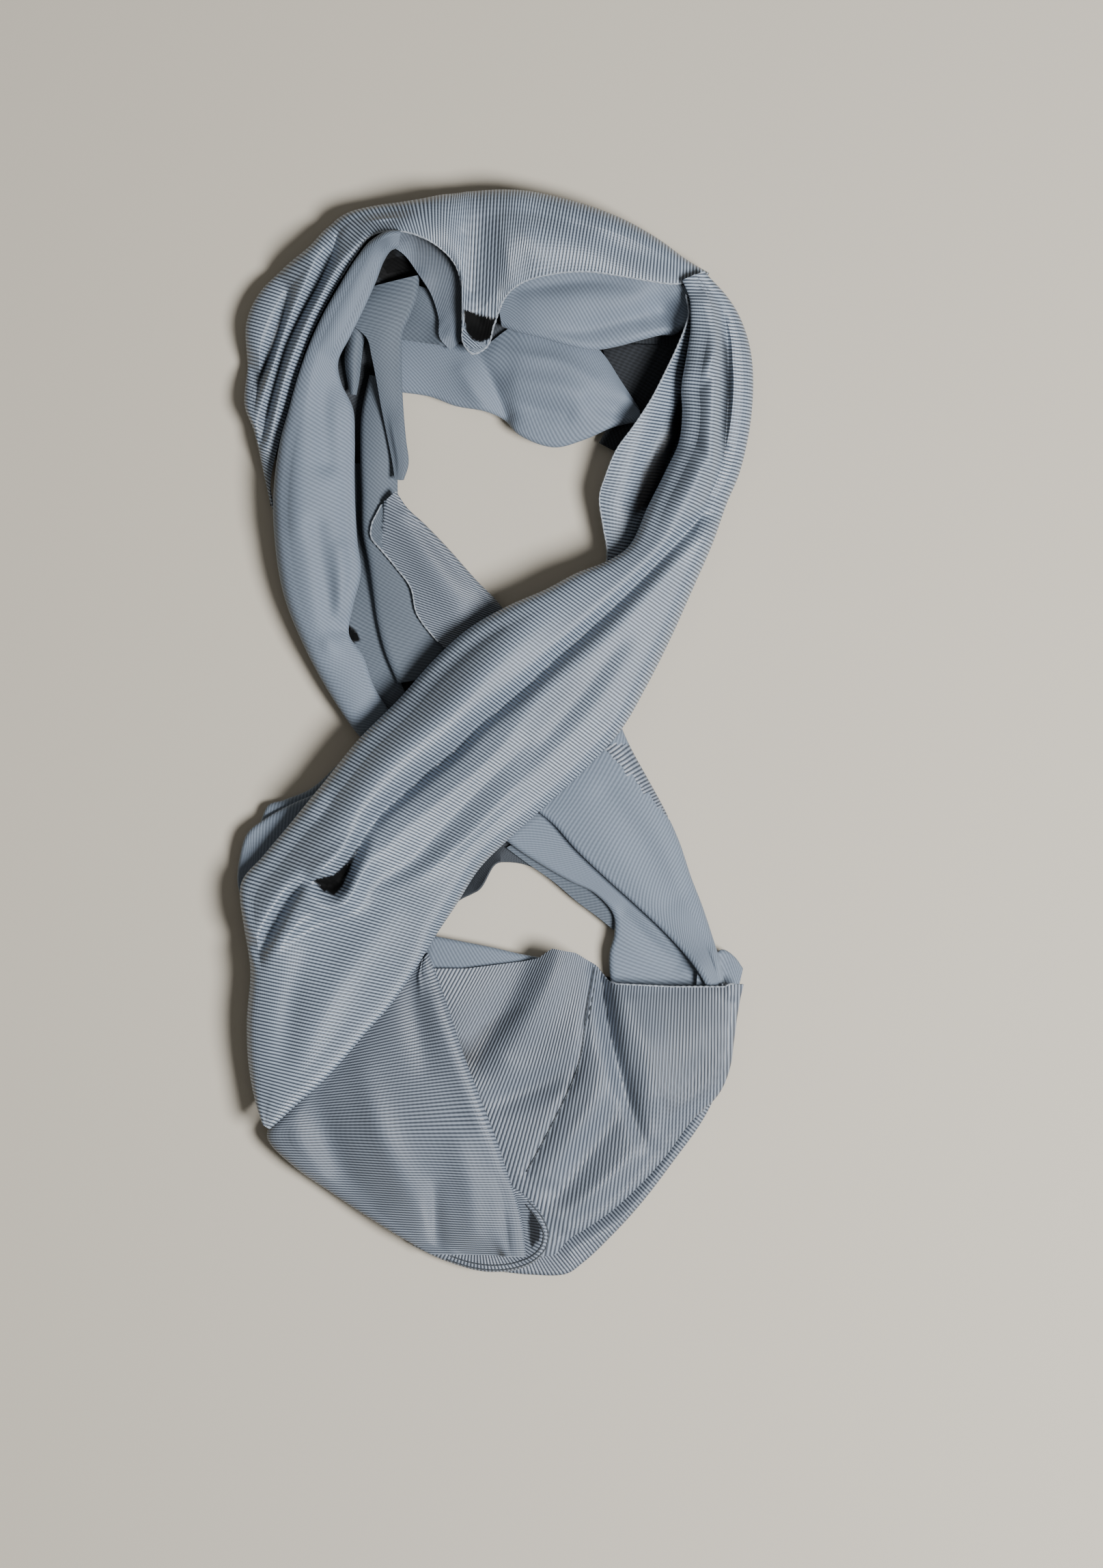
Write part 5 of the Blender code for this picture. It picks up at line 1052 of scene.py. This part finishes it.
# Front strand: the right of the larger loop and the long diagonal
frontStrand = dict(
    node="front_strand", finish=ribbedKnit, slot="ribbed_face", cut=(79, 350, 268),
    along=42, across=10, turnA=(6, 14), turnB=(7, 30),
    sections=(
        (63.4,153,15.5,71,156.2,12.5,0.5), (64.7,150.4,15.8,75,152.4,13,1), (65.8,147.5,16,78.4,149,13.5,1.5),
        (66.3,142,16,83,142.4,14.5,2.5), (66.2,136,16,85.6,136,15,3), (65,128,16,87.3,129,16,4),
        (63.2,117,15.5,88,118,16.5,5), (63.5,108,15,87.3,107,16.5,5), (62.5,99,15,85.8,98,16.5,5),
        (58,89,15,83.2,88,17,6), (52,77,15,79,78,17,6), (46,64,15.5,74,64,17.5,6), (38,58.2,16.5,67,48,18.5,6),
        (28,54.3,17,60.3,33,19.5,6), (17,48.5,17,51.5,15.5,20,6), (5,43.3,16.5,43,1,20,6), (-8,36,16,31,-12,19,6),
        (-20,25.5,15.5,17,-25,18,6), (-33,11,15,5,-36,17,5.5), (-46,-2,14.5,-5,-46,16.5,5),
        (-57,-15.5,14,-13,-58.5,16,5), (-68,-29,13,-20,-69,16,4), (-78.5,-41.5,12.5,-27,-80.5,16,4),
        (-86,-51,12,-35,-92,16,3), (-85,-66,12,-43,-101,16,3), (-83,-80,12.5,-51,-110.5,16,2),
        (-84.2,-98,12.5,-59,-119,15.5,1.5), (-83.6,-113,12,-67,-126,14.5,1), (-81,-126,11,-73.5,-132,13,0),
        (-78.8,-132.5,10,-76.2,-134.3,11,0)),
    folds=(
        (16, ((69,87,1), (49,69,2.8), (29,53,4.2), (13,39,5.4), (-1,24,6.6), (-13,10,7.4), (-35,-10,7.8),
             (-52,-32,7), (-64,-50,5.6), (-73,-62,4), (-82,-77,1.5)), 1.9),
        (4, ((77,82,-2), (66,69,-4), (55,57,-4.5), (40,42,-5), (20,24,-5.5), (8,13,-6), (-5,2.5,-7),
             (-14,-6.5,-7.5), (-22,-13,-7.5), (-30,-20,-7), (-38,-27,-6), (-43,-33,-4.5), (-46.5,-38.5,-3)), 1.7),
        (24, ((-20,12,0.3), (-34,2,0.8), (-52,-18,1.4), (-69,-42,1.8), (-78,-60,1.6)), 2),
        (24, ((-66,-68,1), (-74,-86,2.4), (-76,-104,2.6), (-74,-120,1.4)), 2),
        (8, ((60,58,1), (40,35,1.5), (14,12,1.5), (0,-7,1.5), (-14,-19,1.8), (-28,-30,2), (-38,-40,2.2),
             (-45,-50,2), (-49,-56,1.5)), 1.7),
        (5, ((-44,-33,1.5), (-51,-40,3.2), (-58,-45.5,2.6), (-63,-49,1)), 1.9),
        (4.6, ((-45,-37,-2.5), (-48,-42.5,-4.5), (-50.5,-47,-4.5), (-52,-50.5,-2)), 2),
        (4.4, ((-61.5,-50,-2.5), (-58,-51.2,-4.5), (-54.5,-52,-3.5), (-52.5,-51.5,-1.5)), 2),
        (5, ((-42,-39,1), (-45,-46,2.6), (-48,-53,3.4), (-52,-57.5,3.2), (-58,-58.5,2.4), (-64,-55,1)), 1.9),
        (3.8, ((-64,-49.5,-3), (-68,-54,-5), (-72,-60,-6), (-76,-67,-6), (-80,-75,-3)), 1.7),
        (6, ((-60,-59,1), (-67,-65,1.6), (-72,-72,1.4), (-77,-80,0.6)), 1.6),
        (7, ((10,-5,-1), (-6,-21,-1.6), (-18,-34,-2.2), (-30,-46,-2), (-42,-53,-1)), 1.8),
        (5, ((8,-18,0.4), (0,-26,0.9), (-10,-36,1.3), (-20,-44,1.3), (-32,-51,1.1), (-44,-55.5,0.8), (-54,-60,0.8),
             (-66,-66,0.5)), 1.8),
        (6, ((42,29,-0.5), (29,11,-1.3), (18,-2,-1.3), (8,-14,-0.6)), 1.8),
        (4, ((-50,-62,-0.5), (-60,-65,-1.3), (-68,-70,-1.4), (-74,-76,-0.6)), 1.4),
        (8, ((71,149,1), (73,134,3.4), (73.4,118,4), (73,106,4), (71,91,3.6), (60,73,1.4)), 1.9),
        (4.6, ((77,147,-3), (78.6,137,-7), (79.3,124,-9), (79.2,112,-9), (78.4,100,-8.4), (77.2,89,-7), (73.5,78,-5),
             (67,70,-2)), 1.6),
        (6, ((81,145,1), (84,136,2), (85,124,2), (84.4,108,2), (81.6,94,1.2)), 1.8),
        (6, ((64,117,0.8), (70.5,122,2.4), (75,128,2.6), (77.5,136,1)), 1.8),
        (5, ((63,105,-1), (68.5,97,-2.2), (72,89,-2.4), (69,80,-1)), 1.5),
        (4, ((68,115,-0.6), (73,120,-1.8), (76.5,130,-1.2)), 1.3),
        (5, ((65,148.5,-1.4), (68,149.5,-1.8), (71,151,-1)), 1.9),
        (12, ((46,26,1), (14,-8,1.5), (-16,-36,1.5))),
        (9, ((-36,-62,0.8), (-50,-80,1.4), (-60,-98,1.4), (-66,-112,0.6))),
        (7, ((-64,-76,-0.6), (-69,-92,-1.4), (-71,-108,-0.8)))),
    # painted shade: the pocket at the crease's end, the valley beside the right crest and the upper left flank turned
    # from the light
    paintedShades=(
        (0.88, 1.2, ((-61.8,-49.6), (-58,-53.4), (-54,-55), (-51.2,-52), (-48.8,-46), (-46,-38.6), (-49.8,-43.8),
                     (-54,-47.6))),
        (0.6, 3, ((76.8,136), (79.8,130), (80.6,116), (79.8,102), (77.6,90), (76.8,104), (77.6,118))),
        (0.5, 7, ((4,40), (-10,31), (-22,21), (-34,9), (-47,-5), (-58,-18), (-53,-21), (-41,-9), (-29,3), (-16,15),
                  (-2,26), (8,34)))),
    ribs=(
        (64,153,79,153), (64,140,86,138), (62,125,89,122), (60,110,89,106), (57,97,87,90), (50,85,82,73),
        (42,76,78,58), (30,70,70,44), (18,64,62,33), (5,56,55,20), (-8,47,46,6), (-20,37,36,-5), (-32,25,24,-15),
        (-44,12,12,-24), (-56,-1,3,-34), (-68,-14,-4,-44), (-79,-27,-9,-55), (-89,-41,-16,-65), (-92,-56,-22,-75),
        (-90,-70,-28,-84), (-90,-84,-36,-95), (-90,-98,-46,-107), (-90,-110,-55,-118), (-90,-120,-64,-128),
        (-90,-131,-70,-138)))
layCloth("frontStrandKnit", frontStrand)

# The two rings of hidden plies: outer edge (x, y) and inner edge (x, y)
upperRing = (
    (-36,0,-8,49), (-50,6,-19,60), (-62,28,-28,71), (-69,50,-35,80), (-71,75,-35,91), (-75,95,-35,101),
    (-80,112,-35,112), (-80,132,-34,120), (-74,148,-29,119), (-60,160,-20,118.5), (-47,172,-11,116),
    (-25,177,-3,114), (0,180,5,112), (25,176,13,106), (45,168,24,102), (62,157.5,34,104.5), (76,143,42,104),
    (83,125,47,100), (82.5,105,44,93), (77,85,41,81), (69,65,41,66), (61,45,36,52), (48,17,22,45), (36,0,14,41),
    (12,0,7,38), (-12,0,0,41))
lowerRing = (
    (-38,4,-4,-52), (-12,4,0,-45), (12,4,4,-44), (36,3,11,-45), (50,-15,20,-49), (58,-35,30,-55), (65,-55,39,-62),
    (71,-72,44,-69), (80,-86,44,-78), (77,-105,40,-83), (73,-119,32,-82), (59,-141,22,-80), (41,-164,11,-80),
    (21,-179,3,-79), (-4,-178,-6,-77), (-30,-168,-14,-75), (-54,-152,-20,-75), (-72,-136,-25,-76),
    (-79,-118,-27,-74), (-79,-95,-25,-70), (-79,-75,-21,-65), (-82,-52,-16,-60), (-79,-38,-12,-57), (-60,-24,-8,-55))


plies = dict(
    profile=((0.5, 0.0), (0.1, 0.12), (0.0, 0.3), (0.1, 0.46), (0.6, 0.55), (0.1, 0.64), (0.0, 0.8),
             (0.1, 0.96), (0.6, 1.05), (0.15, 1.14), (0.05, 1.3)),   # layered edges: how far in, and how high
    flatTo=1.35,                                # the edges keep their form up to here
    across=14, edge=0.6, rim=0.1, rimDrop=0.3,  # cells from edge to edge, and how the top meets the edges
    thinnest=1.7, thickest=40.0,                # height of the top
    reach=5.0, near=1.6, spare=0.15,            # how far round each point it looks for cloth, first and then
    rounds=14,
    # painted shade: the black triangle inside the hood
    paintedShades=((0.9, 1.2, ((-42,151), (-37,159), (-33,165), (-26,157))),))


def ringBody(rows, count, margin):
    # closed ring of the plies inside: flat underneath, its top that margin under the cloth
    plan = smoothRows(rows, count, closed=True)[:-1]
    outer, inner = plan[:, :2], plan[:, 2:]
    width = np.linalg.norm(inner - outer, axis=1)
    direction = (inner - outer) / width[:, None]
    under = spread(clothBottom, plies["reach"], np.minimum)
    share = np.linspace(0, 1, plies["across"] + 1)
    tops = []
    for part in share:
        place = outer + (inner - outer) * part
        tops.append(np.clip(readMap(under, place[:, 0], place[:, 1]) - margin, plies["thinnest"], plies["thickest"]))
    tops = np.stack(tops, axis=1)
    tops = np.minimum(tops, 0.5 * tops + 0.5 * (np.roll(tops, 1, 0) + np.roll(tops, -1, 0)) / 2)
    columns = []
    for offset, height in plies["profile"]:
        columns.append(np.column_stack([outer + direction * offset, np.full(len(plan), height)]))
    columns.append(np.column_stack([outer + direction * plies["rim"], tops[:, 0] - plies["rimDrop"]]))
    for k, part in enumerate(share):
        reach = np.clip(width * part, plies["edge"], width - plies["edge"])
        columns.append(np.column_stack([outer + direction * reach[:, None], tops[:, k]]))
    columns.append(np.column_stack([inner - direction * plies["rim"], tops[:, -1] - plies["rimDrop"]]))
    for offset, height in reversed(plies["profile"]):
        columns.append(np.column_stack([inner - direction * offset, np.full(len(plan), height)]))
    grid = np.stack(columns, axis=1)
    rowCount, columnCount = grid.shape[:2]
    index = np.arange(rowCount * columnCount).reshape(rowCount, columnCount)
    nextRow, nextColumn = np.roll(index, -1, 0), np.roll(index, -1, 1)
    faces = np.stack([index, nextColumn, np.roll(nextRow, -1, 1), nextRow], axis=2).reshape(-1, 4)
    points = grid.reshape(-1, 3).copy()
    if np.linalg.det(points[faces[:, :3]]).sum() + np.linalg.det(points[faces[:, [0, 2, 3]]]).sum() < 0:
        faces = faces[:, ::-1]
    nearby = spread(clothBottom, plies["near"], np.minimum)
    for _ in range(plies["rounds"]):   # pressed down wherever it still comes too near to the cloth
        excess = np.zeros(len(points))
        tree = treeOf(points, faces)
        for i, j, x, y in cellsUnder(points):
            if nearby[i, j] == nothing:
                continue
            hit, face = hitFrom(above, tree, x, y)
            if hit is None or hit.z < nearby[i, j] - margin + plies["spare"]:
                continue
            for corner in faces[face]:
                excess[corner] = max(excess[corner], hit.z - nearby[i, j] + margin)
        if excess.max() <= 0:
            break
        lower = np.maximum(points[:, 2] - excess, np.minimum(points[:, 2], plies["flatTo"]))
        points[:, 2] = np.where(excess > 0, lower, points[:, 2])
    reach = distances(np.linalg.norm(np.diff(grid, axis=1), axis=2).mean(axis=0))
    along = distances(np.linalg.norm(np.diff(grid, axis=0), axis=2).mean(axis=1))
    uv = np.stack([along[:, None] + 0 * grid[:, :, 0], reach[None, :] + 0 * grid[:, :, 0]], axis=2).reshape(-1, 2)
    return points, faces, uv


print("making the plies inside the folds")
points, faces, uv = ringBody(upperRing, count=110, margin=0.5)
innerPlies = newObject("innerPlies", points, faces, innerKnit, uv)
points, faces, uv = ringBody(lowerRing, count=100, margin=0.6)
lowerPlies = newObject("lowerPlies", points, faces, innerKnit, uv)
join = innerPlies.modifiers.new("join", "BOOLEAN")
join.operation, join.solver, join.object = "UNION", "EXACT", lowerPlies
bpy.context.view_layer.objects.active = innerPlies
bpy.ops.object.modifier_apply(modifier="join")
bpy.data.objects.remove(lowerPlies, do_unlink=True)
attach(innerPlies, "root")
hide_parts("hidden_layers")

print("finding how much sky each point sees")
shadeFolds(laid + [(innerPlies, plies["paintedShades"])])

print("setting the floor, the lights and the camera")
stage = dict(floor="#c8c1b3", floorSize=6.0, floorHeight=-0.0004, air=0.12, airColour="#f7f0e4",
             lens=121.0, sensor=36.0, height=1.8, aim=(19.35, -17.25),
             key=dict(place=(0.76, -0.30, 1.16), size=0.55, power=36.0),
             fill=dict(place=(-0.35, 0.45, 1.5), size=1.8, power=1.8))
bpy.ops.object.select_all(action="DESELECT")
bpy.ops.mesh.primitive_plane_add(size=stage["floorSize"], location=(0, 0, stage["floorHeight"]))
floor = bpy.context.object
floor.name = "paleFloor"
# Matt pale laminate: plain, so that only the soft shadow shows on it
floorPaint = newMaterial("mattPaleLaminate", Base_Color=linear(stage["floor"]), Roughness=0.7,
                         Specular_IOR_Level=0.25)[0]
floor.data.materials.append(floorPaint)

for name in ("key", "fill"):
    values = stage[name]
    light = bpy.data.lights.new(name + "Light", "AREA")
    light.shape, light.size, light.energy = "DISK", values["size"], values["power"]
    lamp = bpy.data.objects.new(name + "Light", light)
    lamp.location = values["place"]
    lamp.rotation_euler = (-Vector(values["place"])).to_track_quat("-Z", "Y").to_euler()
    bpy.context.scene.collection.objects.link(lamp)
world = bpy.data.worlds.new("studioAir")
bpy.context.scene.world = world
world.use_nodes = True
world.node_tree.nodes["Background"].inputs["Color"].default_value = linear(stage["airColour"])
world.node_tree.nodes["Background"].inputs["Strength"].default_value = stage["air"]

lens = bpy.data.cameras.new("photoCamera")
lens.lens, lens.sensor_width = stage["lens"], stage["sensor"]
camera = bpy.data.objects.new("photoCamera", lens)
aimX, aimY = [(aim - centre) * mm for aim, centre in zip(stage["aim"], table["centre"])]
camera.location = (aimX, aimY, stage["height"])
bpy.context.scene.collection.objects.link(camera)
bpy.context.scene.camera = camera
